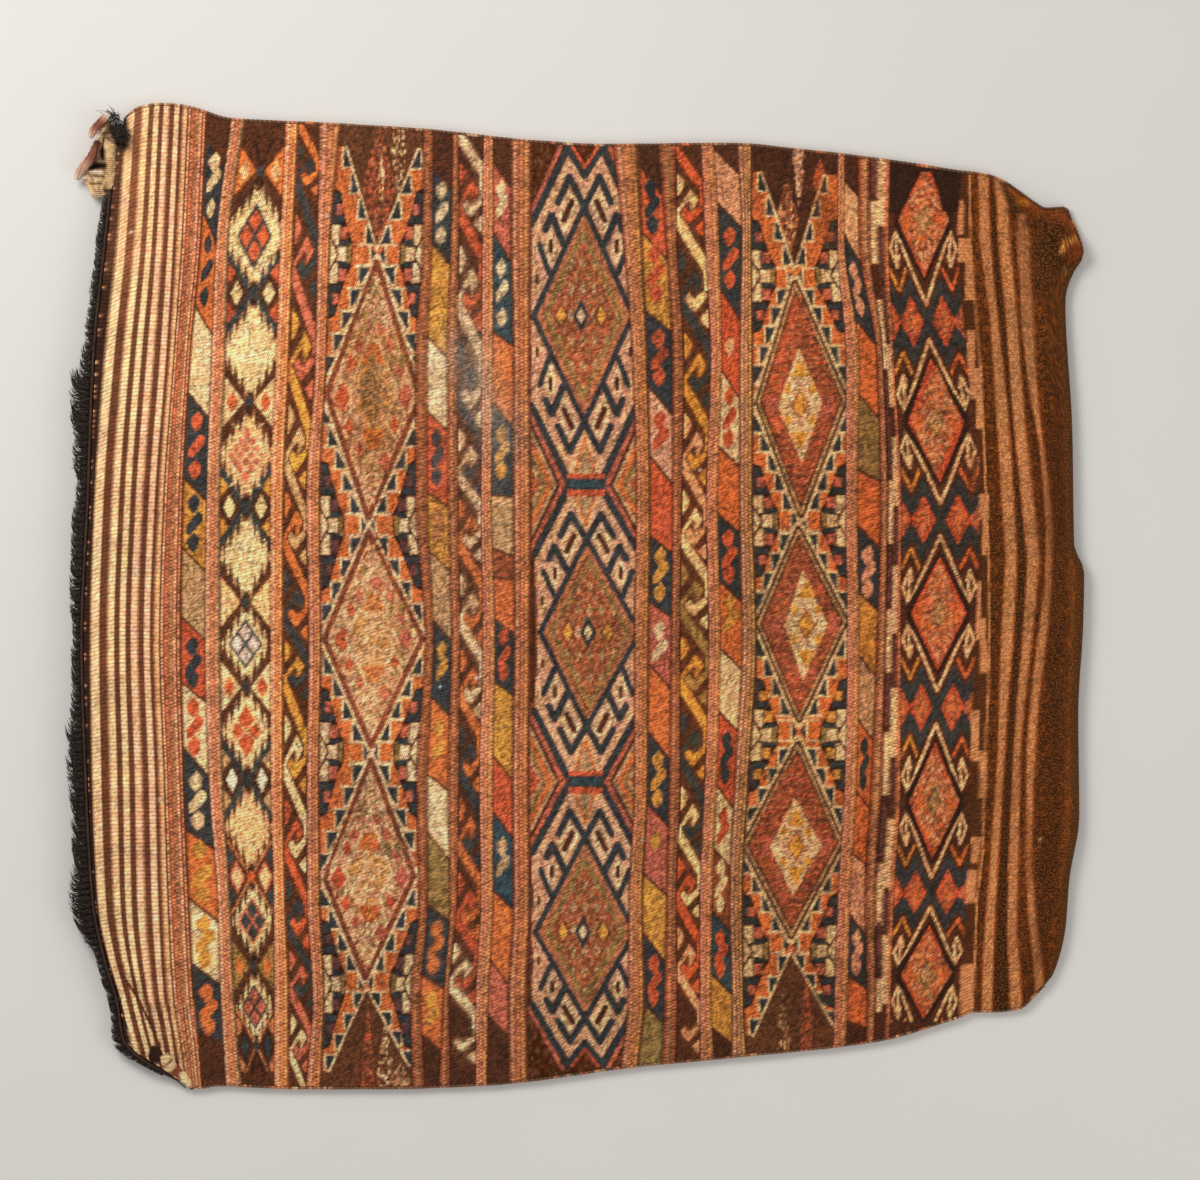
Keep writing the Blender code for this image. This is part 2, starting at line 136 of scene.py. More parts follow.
def smooth(at, xs, ys):
    """A curve through the points (xs, ys), at each x in at, that stays between close points."""
    xs = np.asarray(xs, float)
    ys = np.asarray(ys, float)
    steps = np.diff(ys) / np.diff(xs)
    lean = np.zeros(len(xs))
    same = steps[:-1] * steps[1:] > 0
    lean[1:-1][same] = 2 * steps[:-1][same] * steps[1:][same] / (steps[:-1] + steps[1:])[same]
    lean[0] = steps[0]
    lean[-1] = steps[-1]
    i = np.clip(np.searchsorted(xs, at, side="right") - 1, 0, len(xs) - 2)
    wide = xs[i + 1] - xs[i]
    t = (at - xs[i]) / wide
    inside = np.clip(t, 0, 1)
    rise = inside**2 * (3 - 2 * inside)
    lead = inside * (1 - inside) ** 2
    trail = inside**2 * (inside - 1)
    value = ys[i] + (ys[i + 1] - ys[i]) * rise + wide * (lead * lean[i] + trail * lean[i + 1])
    return value + wide * (np.minimum(t, 0) * lean[i] + np.maximum(t - 1, 0) * lean[i + 1])


def weave_lines():
    """Every measured line of the weave, from the lip to the fold: its name and its y and x."""
    lines = [(LIP_LINE, LIP)]
    for name, xs in BORDERS.items():
        end = ((1088, CORNER[name]),) if name in CORNER else ()
        lines.append((name, tuple(zip(LEVELS, xs)) + end))
    return lines + [(FOLD_LINE, FOLD)]


def line_end(points, y, last):
    """x of a line of the weave at y. A line with points right up to the seams has its own end there."""
    return smooth(y, *zip(*points)) if len(points) == len(LEVELS) else points[last][1]


def seam_y(seam, x):
    """y of a seam at x."""
    return smooth(x, *zip(*seam))


def picture_of(s, v):
    """x and y in the picture of every crossing of the lines s with the rows v, as two grids."""
    lines = weave_lines()
    names = np.array([name for name, _ in lines], float)
    high_x = np.interp(s, names, [line_end(points, NEAR_TOP, 0) for _, points in lines])
    low_x = np.interp(s, names, [line_end(points, NEAR_BOTTOM, -1) for _, points in lines])
    high = seam_y(TOP_SEAM, high_x) + SEAM_INSET
    low = seam_y(BOTTOM_SEAM, low_x) - SEAM_INSET
    y = low[:, None] + (high - low)[:, None] * v[None, :]
    i = np.clip(np.searchsorted(names, s, side="right") - 1, 0, len(names) - 2)
    share = ((s - names[i]) / (names[i + 1] - names[i]))[:, None]
    before = np.empty_like(y)
    after = np.empty_like(y)
    for k in range(len(names) - 1):
        rows = i == k
        if rows.any():
            before[rows] = smooth(y[rows], *zip(*lines[k][1]))
            after[rows] = smooth(y[rows], *zip(*lines[k + 1][1]))
    return before + (after - before) * share, y


def hashed(a, b, seed):
    """An even random number for each pair of whole numbers."""
    mixed = (a.astype(np.int64) * 73856093) ^ (b.astype(np.int64) * 19349663) ^ (seed * 83492791)
    mixed = (mixed ^ (mixed >> 13)) * 1274126177
    mixed = mixed & 0x7FFFFFFF
    mixed = (mixed ^ (mixed >> 16)) * 73244475 & 0x7FFFFFFF
    return ((mixed ^ (mixed >> 15)) & 0xFFFF) / 65535.0


def soft_noise(x, y, seed):
    """Smooth noise between 0 and 1, one value for each unit square blended into the next."""
    i = np.floor(x)
    j = np.floor(y)
    fx = x - i
    fy = y - j
    fx = fx * fx * (3 - 2 * fx)
    fy = fy * fy * (3 - 2 * fy)
    low = hashed(i, j, seed) * (1 - fx) + hashed(i + 1, j, seed) * fx
    high = hashed(i, j + 1, seed) * (1 - fx) + hashed(i + 1, j + 1, seed) * fx
    return low * (1 - fy) + high * fy


class Band:
    """The cells between two lines of the weave. Shapes are given in the picture's x and y, or, where
    across is True, in shares of the band's width and the picture's y."""

    def __init__(self, cloth, left, right):
        inside = np.flatnonzero((cloth.s > left) & (cloth.s < right))
        part = slice(inside[0], inside[-1] + 1)
        self.width = right - left
        self.u = (cloth.s[part, None] - left) / self.width + 0 * cloth.y[part]
        self.x = cloth.x[part]
        self.y = cloth.y[part]
        self.dye = cloth.dye[part]
        self.first = self.y.min(axis=0)
        self.last = self.y.max(axis=0)

    def rows(self, top, bottom):
        """The rows of cells that reach in between the heights top and bottom."""
        inside = np.flatnonzero((self.last >= top - 2) & (self.first <= bottom + 2))
        return slice(inside[0], inside[-1] + 1) if len(inside) else slice(0, 0)

    def at(self, rows, across):
        """x and y of the cells in the rows, with x from the band's left where across is True."""
        return (self.u[:, rows] * self.width if across else self.x[:, rows]), self.y[:, rows]

    def fill(self, dye, top=-99, bottom=1e4):
        """The whole width of the band from top to bottom."""
        rows = self.rows(top, bottom)
        y = self.y[:, rows]
        self.dye[:, rows][(y >= top) & (y <= bottom)] = CODE[dye]

    def points(self, points, across):
        """The points as an array in pixels."""
        points = np.array(points, float)
        if across:
            points[:, 0] *= self.width
        return points

    def shape(self, points, dye, across=False):
        """A filled polygon."""
        points = self.points(points, across)
        rows = self.rows(points[:, 1].min(), points[:, 1].max())
        x, y = self.at(rows, across)
        inside = np.zeros(x.shape, bool)
        for (ax, ay), (bx, by) in zip(points, np.roll(points, -1, axis=0)):
            if ay != by:
                cut = ax + (y - ay) * (bx - ax) / (by - ay)
                inside ^= ((y > ay) != (y > by)) & (x < cut)
        self.dye[:, rows][inside] = CODE[dye]

    def stroke(self, points, width, dye, across=False):
        """A line of the given width in pixels."""
        points = self.points(points, across)
        rows = self.rows(points[:, 1].min() - width, points[:, 1].max() + width)
        x, y = self.at(rows, across)
        near = np.full(x.shape, 1e9)
        for (ax, ay), (bx, by) in zip(points, points[1:]):
            dx, dy = bx - ax, by - ay
            t = np.clip(((x - ax) * dx + (y - ay) * dy) / (dx * dx + dy * dy), 0, 1)
            near = np.minimum(near, np.hypot(x - ax - t * dx, y - ay - t * dy))
        self.dye[:, rows][near < width / 2] = CODE[dye]

    def lozenge(self, x0, y0, half, tall, dye, across=False):
        """A diamond around x0 and y0, with its half width in pixels and its half height."""
        x0 = x0 * self.width if across else x0
        rows = self.rows(y0 - tall, y0 + tall)
        x, y = self.at(rows, across)
        self.dye[:, rows][np.abs(x - x0) / half + np.abs(y - y0) / tall < 1] = CODE[dye]


# The marks of a slanted block, in shares of the band's width and pixels from the mark's middle
SPOT = ((0.16, -2), (0.5, -10), (0.74, -3), (0.66, 6), (0.42, 11), (0.2, 4))
BAR = ((0.14, 3), (0.62, -12), (0.86, -9), (0.86, -2), (0.36, 11), (0.14, 12))
# A y below every cell, where the last block of a band ends
BELOW = 1120


def slanted_blocks(band, blocks):
    """Slanted blocks down a narrow band. Each has the y of its upper edge at the left and the right and
    its ground, and some have a dye and the y of each mark: a spot, a bar and a spot."""
    band.fill("brown")
    for left, right, ground, *marks in blocks:
        band.shape([(0, left), (1, right), (1, BELOW), (0, BELOW)], ground, True)
        band.stroke([(0, left), (1, right)], 2.2, "brown", True)
        dye, places = marks or ("", ())
        for turn, y in enumerate(places):
            band.shape([(u, y + down) for u, down in (BAR if turn % 2 else SPOT)], dye, True)


# How thick a slanted line is, as a share of the pitch
THICK = 0.19
# The hooks on a slanted line and beside the next one, in shares of the band's width and of the pitch.
# The first two have the next line's dye and the others the line's own.
HOOKS = (
    ((0.03, 0.42), (0.22, 0.5), (0.32, 0.58), (0.14, 0.72), (0.03, 0.76)),
    ((0.56, 0.66), (0.84, 0.82), (0.56, 0.99), (0.52, 0.95), (0.56, 0.86), (0.46, 0.83), (0.06, 1.02),
     (0, 0.97)),
    ((0.16, 1.0), (0.32, 0.93), (0.5, 1.01), (0.92, 0.9), (0.97, 0.98), (0.5, 1.17), (0.3, 1.1)),
    ((0.66, 1.24), (0.98, 1.13), (0.98, 1.36), (0.8, 1.31)),
)


def running_hooks(band, starts, drop):
    """Running hooks down a narrow band, after the y of each line's start at the left and its dye. A
    line drops by the share drop of the pitch on its way across."""
    band.fill("brown")
    line = ((0, 0), (0.08, 0), (1, drop), (1, drop + THICK), (0.9, drop + THICK * 0.9), (0, THICK))
    stem = ((0.88, drop), (1, drop), (1, 0.92), (0.9, 0.9))
    for (y, dye), (following, after) in zip(starts, starts[1:]):
        for points, its_dye in zip((line, stem) + HOOKS, (dye, dye, after, after, dye, dye)):
            band.shape([(u, y + t * (following - y)) for u, t in points], its_dye, True)


def guard(cloth, left, right, dyes):
    """Fine warp-wise lines: dyes is a list of widths in pixels and names."""
    total = sum(width for width, _ in dyes)
    at = left
    for width, dye in dyes:
        end = at + width * (right - left) / total
        cloth.dye[(cloth.s > at) & (cloth.s <= end)] = CODE[dye]
        at = end


# The widths and dyes of the narrow borders' lines
WARM = ((1.5, "brown"), (1.5, "rose"), (3.2, "pink"), (1.4, "rust"), (4, "salmon"), (1.4, "rust"),
        (3, "amber"), (1.4, "rust"), (2, "brown"))
PLAIN = ((1.6, "dark"), (2.6, "rust"), (3, "clay"), (1, "brown"), (2.4, "amber"), (2.6, "rust"),
         (1.6, "dark"))
PINK = ((1, "brown"), (4, "pink"), (7, "salmon"), (2.5, "tan"), (2, "brown"))
DULL = ((1.5, "dark"), (3, "rust"), (3, "tan"), (1.5, "rust"), (1.5, "dark"))
EDGE = ((2.6, "salmon"), (1.4, "brown"))
# The narrow borders: the lines of the weave at both sides and what they are made of
GUARDS = (
    (204.5, 221, PINK), (270, 284, WARM), (308.5, 322, WARM), (425, 434, PLAIN), (451, 460, PLAIN),
    (482.5, 495.5, WARM), (513.5, 531, WARM), (634, 649.5, WARM), (670.5, 680, PLAIN), (708.5, 720.5, WARM),
    (741.5, 757.5, WARM), (847, 859.5, WARM), (876.5, 886, DULL), (897, 901, EDGE),
)
# The slanted blocks of the narrow bands, down from the upper seam, as slanted_blocks takes them
BAND_A = (
    (138, 171, "navy", "cream", (162, 180, 208)), (213, 243, "orange", "navy", (244, 270, 296)),
    (306, 334, "cream"), (393, 418, "navy", "red", (421, 446, 469)),
    (479, 501, "gold", "navy", (503, 523, 542)), (548, 571, "tan"),
    (617, 640, "red", "navy", (646, 665, 678)), (683, 702, "cream", "red", (707, 727, 746)),
    (748, 776, "navy", "cream", (781, 801, 820)), (830, 849, "orange", "gold", (849, 875, 894)),
    (899, 922, "cream", "gold", (924, 941, 959)), (964, 985, "navy", "orange", (992, 1010, 1026)),
    (1032, 1044, "brown"),
)
BAND_C = (
    (169, 189, "navy", "cream", (190, 212, 235)), (243, 265, "gold"),
    (337, 357, "cream"), (412, 430, "red", "navy", (438, 457, 476)),
    (493, 506, "gold", "clay", (515, 532)), (552, 570, "tan"),
    (621, 640, "navy", "gold", (650, 669)), (697, 716, "orange", "gold", (728, 750)),
    (775, 790, "cream"), (832, 860, "olive"),
    (905, 921, "navy", "orange", (929, 947, 965)), (974, 989, "orange", "gold", (1000, 1016)),
    (1035, 1050, "brown"),
)
BAND_A2 = (
    (162, 187, "rose", "cream", (189, 206)), (232, 262, "teal", "cream", (268, 291, 317)),
    (332, 346, "orange"), (403, 427, "navy", "gold", (434, 452, 470)),
    (495, 497, "tan"), (548, 556, "rust"), (577, 580, "orange"),
    (619, 634, "navy", "red", (636, 657, 672)), (682, 696, "gold"),
    (756, 779, "red"), (812, 837, "teal", "tan", (846, 865)),
    (891, 909, "orange"), (960, 984, "rose"), (1016, 1035, "brown"),
)
BAND_E = (
    (166, 193, "red", "navy", (188, 206, 224)), (233, 259, "gold", "red", (254, 274, 293)),
    (311, 332, "navy", "red", (338, 358, 376)), (387, 415, "pink", "red", (420, 438)),
    (456, 484, "red"), (536, 553, "navy", "gold", (556, 572, 592)),
    (602, 617, "rose", "cream", (630, 650)), (664, 688, "orange"),
    (732, 759, "navy", "gold", (760, 779, 798)), (804, 826, "rose", "gold", (840,)),
    (874, 895, "gold"), (934, 962, "navy", "red", (963, 982, 997)),
    (1005, 1023, "olive"),
)
BAND_G = (
    (149, 174, "pink"), (203, 228, "navy", "red", (236, 259, 279)),
    (290, 320, "red", "peach", (346,)), (370, 398, "cream", "red", (396, 418, 438)),
    (447, 466, "orange"), (514, 532, "navy", "red", (538, 557, 574)),
    (581, 602, "orange", "gold", (602, 620)), (649, 669, "cream"),
    (712, 731, "red", "navy", (740, 756, 774)), (786, 808, "cream", "red", (816, 832)),
    (849, 867, "rust", "cream", (868, 886, 904)), (911, 930, "teal", "red", (938, 954, 968)),
    (974, 994, "gold"), (1028, 1043, "brown"),
)
BAND_H = (
    (181, 196, "peach"), (235, 262, "navy", "pink", (270, 288, 306)),
    (320, 344, "orange"), (394, 418, "olive"),
    (469, 482, "orange"), (525, 549, "navy", "pink", (555, 572, 589)),
    (593, 610, "gold"), (656, 676, "tan"),
    (720, 740, "orange", "navy", (746, 765, 781)), (792, 808, "orange"),
    (854, 864, "pink"), (914, 934, "navy", "pink", (938, 953, 966)),
    (976, 989, "orange"), (1021, 1028, "brown"),
)
# The bands of slanted blocks: the lines at both sides and the blocks
SLANTED = (
    (182, 204.5, BAND_A), (434, 451, BAND_C), (495.5, 513.5, BAND_A2), (649.5, 670.5, BAND_E),
    (720.5, 741.5, BAND_G), (859.5, 876.5, BAND_H),
)
# The lines of the bands of running hooks: y at the left and dye
BAND_B = (
    (60, "brown"), (120, "orange"), (176, "navy"), (266, "rose"), (365, "gold"), (457, "tan"),
    (537, "orange"), (614, "navy"), (678, "gold"), (764, "cream"), (845, "red"), (923, "navy"),
    (987, "rose"), (1050, "cream"), (1110, "brown"),
)
BAND_D = (
    (60, "brown"), (129, "cream"), (205, "red"), (298, "cream"), (396, "navy"), (470, "cream"),
    (538, "orange"), (618, "cream"), (692, "orange"), (766, "navy"), (841, "orange"), (914, "red"),
    (980, "cream"), (1042, "brown"), (1110, "brown"),
)
BAND_F = (
    (70, "brown"), (145, "red"), (212, "cream"), (298, "navy"), (380, "gold"), (458, "pink"), (533, "cream"),
    (604, "olive"), (679, "gold"), (754, "navy"), (829, "cream"), (895, "red"), (968, "pink"),
    (1031, "brown"), (1100, "brown"),
)
# The bands of running hooks: the lines at both sides, the lines' starts and their drop
HOOKED = ((284, 308.5, BAND_B, 0.62), (460, 482.5, BAND_D, 0.45), (680, 708.5, BAND_F, 0.52))

# The weft stripes at the lip: the line of the weave at which each ends and its dye
LIP_STRIPES = (
    (90.5, "dark"), (98.5, "ecru"), (107.2, "soil"), (114.2, "ecru"), (119.3, "soil"), (125.3, "ecru"),
    (131.2, "soil"), (137.2, "shell"), (144.2, "soil"), (149.7, "shell"), (154.2, "soil"), (158.6, "peach"),
    (160.6, "brown"), (163, "pink"), (165, "rust"), (167.4, "salmon"), (169, "brick"), (171, "tan"),
    (172.6, "rust"), (175.4, "pink"), (177, "brick"), (179.6, "salmon"), (182, "brown"),
)
# Folded pieces of the lower corner and the painted shade in the hollows round them
CORNER_FOLDS = (
    (((116, 1045), (128, 1049), (137, 1054), (150, 1061), (163, 1069), (180, 1081), (190, 1089), (186, 1094),
      (150, 1078), (120, 1062)), "dark"),
    (((148, 1056), (152, 1045), (160, 1047), (164, 1056), (158, 1064), (150, 1062)), "dark"),
    (((160, 1057), (168, 1053), (177, 1065), (171, 1073), (163, 1069)), "ecru"),
    (((170, 1073), (177, 1065), (184, 1071), (180, 1080)), "brick"),
    (((179, 1074), (184, 1070.5), (192, 1083), (188, 1088), (181, 1082)), "ecru"),
)


def slipped_lines(cloth):
    """The line of the weave at every cell near the lip. In the lower corner the stripes run straight
    on and the lip cuts across them."""
    down = np.clip(cloth.y - 1000, 0, None)
    lean = np.interp(cloth.x, (120, 150, 200), (0.24, 0.26, 0.10))
    start = cloth.x - lean * down
    straight = np.interp(start, (119, 121, 141.5, 165, 195), (84.5, 90.5, 122.4, 150.5, 181.9))
    return np.where(down > 0, straight, cloth.s[:, None])


def left_stripes(cloth):
    """The plain weft stripes at the lip, up to the first pattern band, with the folded lower corner."""
    at = LIP_LINE
    lines = slipped_lines(cloth)
    near = cloth.s[:, None] < LIP_STRIPES[-1][0]
    for end, dye in LIP_STRIPES:
        cloth.dye[near & (lines > at) & (lines <= end)] = CODE[dye]
        at = end
    band = Band(cloth, LIP_LINE, LIP_STRIPES[-1][0])
    for points, dye in CORNER_FOLDS:
        band.shape(points, dye)
    # A brown line along the valley of the corner's crease: painted shade
    band.stroke([(120, 971), (139, 1000), (153, 1030), (160, 1047)], 2.6, "brown")
    band.stroke([(164, 1067), (172, 1060)], 1.7, "soil")
    row = cloth.y / 5.4 + 0.3 * np.sin(cloth.y / 13)
    stitched = (row % 1 < 0.42) & (hashed(np.floor(row), 0 * row, 31) > 0.62)
    cloth.dye[(cloth.s[:, None] < LIP_LINE + 2) & stitched] = CODE["pink"]


# The toothed diamonds of the first column: y, half height, kind, dye and ground
SERRATED = (
    (236, 53, "four", "red", "cream"), (349.5, 50, "", "", "cream"), (455, 46, "lattice", "rose", "peach"),
    (556, 43, "", "", "cream"), (644, 39, "four", "pearl", "cream"), (731, 42, "quarter", "red", "cream"),
    (828, 43, "", "", "peach"), (921, 38, "four", "navy", "cream"), (1007, 36, "four", "rose", "cream"),
)
# Between them lie triangles: y, dye and the dye of the lozenge inside
TRIANGLES = ((171, "orange", "peach"), (402, "cream", "red"), (602, "peach", "peach"), (687, "cream", "red"),
             (966, "olive", "orange"))
# or small lozenges: y, the corners' dye, its own, its ring's, the crossing lines', their width, the middle's
LOZENGES = (
    (293, "red", "cream", "dark", "navy", 6.5, "navy"), (507, "gold", "cream", "dark", "navy", 6.5, "navy"),
    (780, "tan", "white", "dark", "navy", 6.5, "navy"), (877, "navy", "peach", "rose", "clay", 2.6, "red"),
    (1046, "clay", "navy", "dark", "clay", 2.6, "navy"),
)


def serrated(band, cy, tall, dye):
    """A diamond with toothed edges that reaches both borders."""
    rows = band.rows(cy - tall - 4, cy + tall + 4)
    a = np.abs(band.u[:, rows] * band.width - band.width / 2 - 1)
    reach = tall - 6 - 2.0 * a
    for k, tooth in enumerate((4, 11, 18, 24)):
        reach = np.maximum(reach, tall - 10.9 * k - 5.5 * np.abs(a - tooth))
    band.dye[:, rows][np.abs(band.y[:, rows] - cy) < reach] = CODE[dye]


def diamond_middle(band, cy, size, kind, dye, ground):
    """What lies inside a toothed diamond: four small diamonds, a crossed one or a lattice."""
    if kind == "four":
        band.lozenge(0.5, cy, 17, size, "rose" if dye == "navy" else "navy", True)
        for dx, dy in ((0, -1), (0, 1), (-1, 0), (1, 0)):
            band.lozenge(0.5 + dx * 0.165, cy + dy * size * 0.46, 6.3, size * 0.36, dye, True)
    if kind == "quarter":
        band.lozenge(0.5, cy, 15, size, dye, True)
        for slope in (-1, 1):
            band.stroke([(0.3, cy + 10 * slope), (0.7, cy - 10 * slope)], 2.0, "cream", True)
    if kind == "lattice":
        tall = size + 2
        band.lozenge(0.5, cy, 19, tall, dye, True)
        for slope in (-18, 18):
            for off in (-13, 0, 13):
                band.stroke([(0.2, cy + off - slope), (0.8, cy + off + slope)], 1.9, ground, True)
        edge = [(0.5, cy - tall), (0.12, cy), (0.5, cy + tall), (0.88, cy), (0.5, cy - tall)]
        band.stroke(edge, 2.2, ground, True)


def meeting(band, y, dye):
    """The dark angles above and below the point where two diamonds meet, and the spot between them."""
    for turn in (-1, 1):
        band.stroke([(0.3, y + 30 * turn), (0.5, y + 4 * turn), (0.7, y + 30 * turn)], 3, "dark", True)
    band.lozenge(0.5, y, 4.5, 7, dye, True)


def column_one(cloth):
    """Toothed diamonds with triangles or small lozenges between them."""
    band = Band(cloth, 221, 270)
    band.fill("brown")
    for y, dye, inner in TRIANGLES:
        for side, tip, middle in ((0, 0.40, 0.16), (1, 0.60, 0.84)):
            band.shape([(side, y - 25), (tip, y), (side, y + 25)], dye, True)
            band.lozenge(middle, y, 5.8, 11.5, inner, True)
        meeting(band, y, "navy")
    for y, corner, dye, ring, line, width, heart in LOZENGES:
        for turn in (-1, 1):
            band.stroke([(0.02, y + turn * 36), (0.5, y), (0.98, y + turn * 36)], width, line, True)
        for side, middle in ((0, 0.18), (1, 0.82)):
            band.lozenge(side, y - 20, 8, 11, corner, True)
            band.lozenge(side, y + 20, 8, 11, corner, True)
            band.lozenge(middle, y, 8.6, 17, ring, True)
            band.lozenge(middle, y, 6.0, 13, dye, True)
        meeting(band, y, heart)
    for cy, tall, kind, dye, ground in SERRATED:
        serrated(band, cy, tall, ground)
        diamond_middle(band, cy, tall * 0.64, kind, dye, ground)
    band.fill("brown", bottom=118)
    band.fill("brown", top=1072)


# Half of a castle's outline: distance from the border and height over its middle
CASTLE_EDGE = ((-1, 66), (7.5, 62), (10.5, 51), (14, 38), (17, 30), (20, 20), (24, 13), (25, 0))
# Blocks of a castle, the same above and below its middle: distance from the border, height, dye. Those
# without a dye have the castle's inner one.
CASTLE = (
    (16, 23.5, 0, 10, "olive"), (7.5, 17.5, 0, 7, "cream"), (10, 21, 8, 13.5, "navy"),
    (-1, 9.5, 9, 29, "cream"), (10.5, 19, 14.5, 27, ""), (-1, 14, 31, 38, "navy"), (3.5, 11.5, 39, 50, ""),
    (-1, 3.5, 39, 50, "navy"), (-1, 7.5, 51, 61, "navy"),
)


def block(x0, x1, y0, y1):
    """The corners of an upright block."""
    return [(x0, y0), (x1, y0), (x1, y1), (x0, y1)]


def castle(band, side, y, inner, scale):
    """A stepped figure on a border, the same above and below y."""
    def placed(points):
        return [(1 - a / band.width if side else a / band.width, y + b * scale) for a, b in points]
    band.shape(placed(CASTLE_EDGE + tuple((a, -b) for a, b in reversed(CASTLE_EDGE))), "dark", True)
    for near, far, low, high, dye in CASTLE:
        for turn in (-1, 1):
            band.shape(placed(block(near, far, turn * low, turn * high)), dye or inner, True)
    band.lozenge(side, y, 9.5, 19 * scale, "brown", True)
    band.lozenge(side, y, 7.5, 15 * scale, "cream", True)


def stairs(band, apex, corner, pitch, out, turn):
    """Steps along a medallion's flank, from its crossing outwards: dark right triangles with pale edges."""
    tall = abs(corner[1] - apex[1])
    lean = (corner[0] - apex[0]) / (corner[1] - apex[1])
    for k in range(max(1, round((tall - 18) / pitch))):
        y = apex[1] + turn * (5.5 + pitch * k)
        x = apex[0] + lean * (y - apex[1])
        far = x + out * 15.5
        band.shape(block(far + out * 5, x + out * 3, y - 2.6 * turn, y), "cream")
        band.shape([(far + out * 2.2, y - turn), (x + out * 2, y - turn), (far - out * 3.5, y + 19 * turn),
                    (far + out * 2.2, y + 19 * turn)], "cream")
        low = y + 16 * turn
        band.shape([(far, y), (x + out * 5, y), (far - out * 1.8, low), (far, low)], "navy")


def crossing(band, x, y):
    """The bright blocks and small dark wedges at both sides of a crossing."""
    for out in (-1, 1):
        band.shape(block(x + out * 6.6, x + out * 21, y - 12, y + 11), "cream")
        band.shape(block(x + out * 9, x + out * 20.5, y - 9.5, y + 8.5), "orange")
        band.shape([(x + out * 1.2, y), (x + out * 6.6, y - 8.5), (x + out * 6.6, y + 8.5)], "navy")


def outline(band, points, edge, width):
    """The edge of a tall lozenge given by its top, left, right and bottom."""
    top, left, right, bottom = points
    band.stroke([top, right, bottom, left, top], width, edge)


def medallion(band, points, edge, width, fill):
    """A filled lozenge with its edge."""
    top, left, right, bottom = points
    band.shape([top, right, bottom, left], fill)
    outline(band, points, edge, width)


def scaled(points, share):
    """The lozenge made larger or smaller about its middle."""
    points = np.array(points, float)
    middle = (points[0] + points[3]) / 2
    return [tuple(middle + (point - middle) * share) for point in points]


def lozenge_places(band, points):
    """The rows of a lozenge and two slanted coordinates there, each from -1 to 1 inside it."""
    top, left, right, bottom = points
    rows = band.rows(top[1], bottom[1])
    x = (band.x[:, rows] - (left[0] + right[0]) / 2) / ((right[0] - left[0]) / 2)
    y = (band.y[:, rows] - (top[1] + bottom[1]) / 2) / ((bottom[1] - top[1]) / 2)
    return rows, x + y, x - y


def lattice(band, points, step, dyes, line, share):
    """Small diamonds of two dyes inside a lozenge, with lines of a third between them."""
    rows, p, q = lozenge_places(band, points)
    inside = (np.abs(p) < 1) & (np.abs(q) < 1)
    near = [np.abs(a / step - np.round(a / step)) for a in (p, q)]
    pick = (np.round(p / step) + np.round(q / step)) % 2
    dye = np.where(pick == 1, CODE[dyes[0]], CODE[dyes[1]])
    dye[np.maximum(*near) > 0.5 - share / 2] = CODE[line]
    band.dye[:, rows][inside] = dye[inside]


def mottle(band, points, dyes, seed, tall=5.2, wide=2.4, lean=0.55):
    """Slanted stitches of other dyes inside a lozenge. None leaves what is there."""
    rows, p, q = lozenge_places(band, points)
    inside = (np.abs(p) < 1) & (np.abs(q) < 1)
    x, y = band.x[:, rows], band.y[:, rows]
    lean = np.where(x > (points[1][0] + points[2][0]) / 2, -lean, lean)
    pick = hashed(np.floor((x + lean * y) / wide), np.floor((y - lean * x * 0.6) / tall), seed)
    pick = np.minimum((pick * len(dyes)).astype(int), len(dyes) - 1)
    for k, dye in enumerate(dyes):
        if dye:
            band.dye[:, rows][inside & (pick == k)] = CODE[dye]


# The medallions of the second and the fourth column, and what is in the middle of the fourth's: top,
# left, right and bottom
COLUMN_TWO = (
    ((377, 262), (327, 394), (419.5, 399), (368, 518)),
    ((368.8, 532.5), (324.4, 638.4), (422.6, 638.4), (371, 746)),
    ((371, 760), (325, 879), (414, 876), (365, 978)),
)
COLUMN_FOUR = (
    ((795, 283), (758, 403), (845, 399), (801, 515)),
    ((798.5, 529), (758.3, 623), (845.5, 621), (799, 720)),
    ((798, 744), (744.5, 845), (841, 842), (791, 936)),
)
MIDDLE_FOUR = (
    ((799, 350), (779, 406), (821, 403), (802, 461)),
    ((803, 572), (785.8, 625), (826.6, 624), (803, 679)),
    ((795, 800), (771, 847), (821, 846), (793, 894)),
)
# Patches of a medallion of the second column, from its middle, in pixels: x, y, half width, half height
PATCHES = (
    (3, -55, 11, 7, "rose"), (-15, -42, 6, 8, "rose"), (-23, -28, 5, 8, "red"), (17, -42, 5, 8, "rose"),
    (28, -22, 5, 8, "rose"), (-25, 26, 5, 8, "red"), (-14, 44, 5, 8, "rose"), (22, 24, 5, 8, "red"),
    (12, 54, 7, 9, "rose"), (-32, 1, 8, 13, "red"), (33, 0, 8, 12, "rose"), (18, -30, 4, 7, "olive"),
    (30, -30, 5, 8, "olive"), (16, 6, 5, 7, "tan"), (-10, -68, 4, 6, "olive"),
)
# The brown ends of both columns: apex, left and right corner, ground, faded streaks, each a tall
# lozenge with its dyes, and the seed of their stitches
ENDS_TWO = (
    ((377, 250), (346.5, 147), (418, 149), "soil", (
        (((381, 122), (362, 186), (396, 186), (379, 250)), ("rust", None, "clay", "rust", None, "red")),
        (((399, 96), (391, 152), (407, 152), (399, 205)), ("tan", None, None, "cream")),
        (((381, 150), (378, 178), (385, 178), (382, 206)), ("peach", None, "cream"))), 140),
    ((366.5, 988), (329, 1071.5), (409, 1066), "soil", (
        (((368, 1000), (361, 1085), (375, 1085), (368, 1170)), ("rust", "rust", None, "clay", "red", None)),
        (((386, 1015), (377, 1072), (394, 1072), (386, 1130)), ("tan", None, None, "cream")),
        (((401, 1062), (390, 1080), (411, 1080), (401, 1098)), ("tan", None, "tan", "clay"))), 150),
)
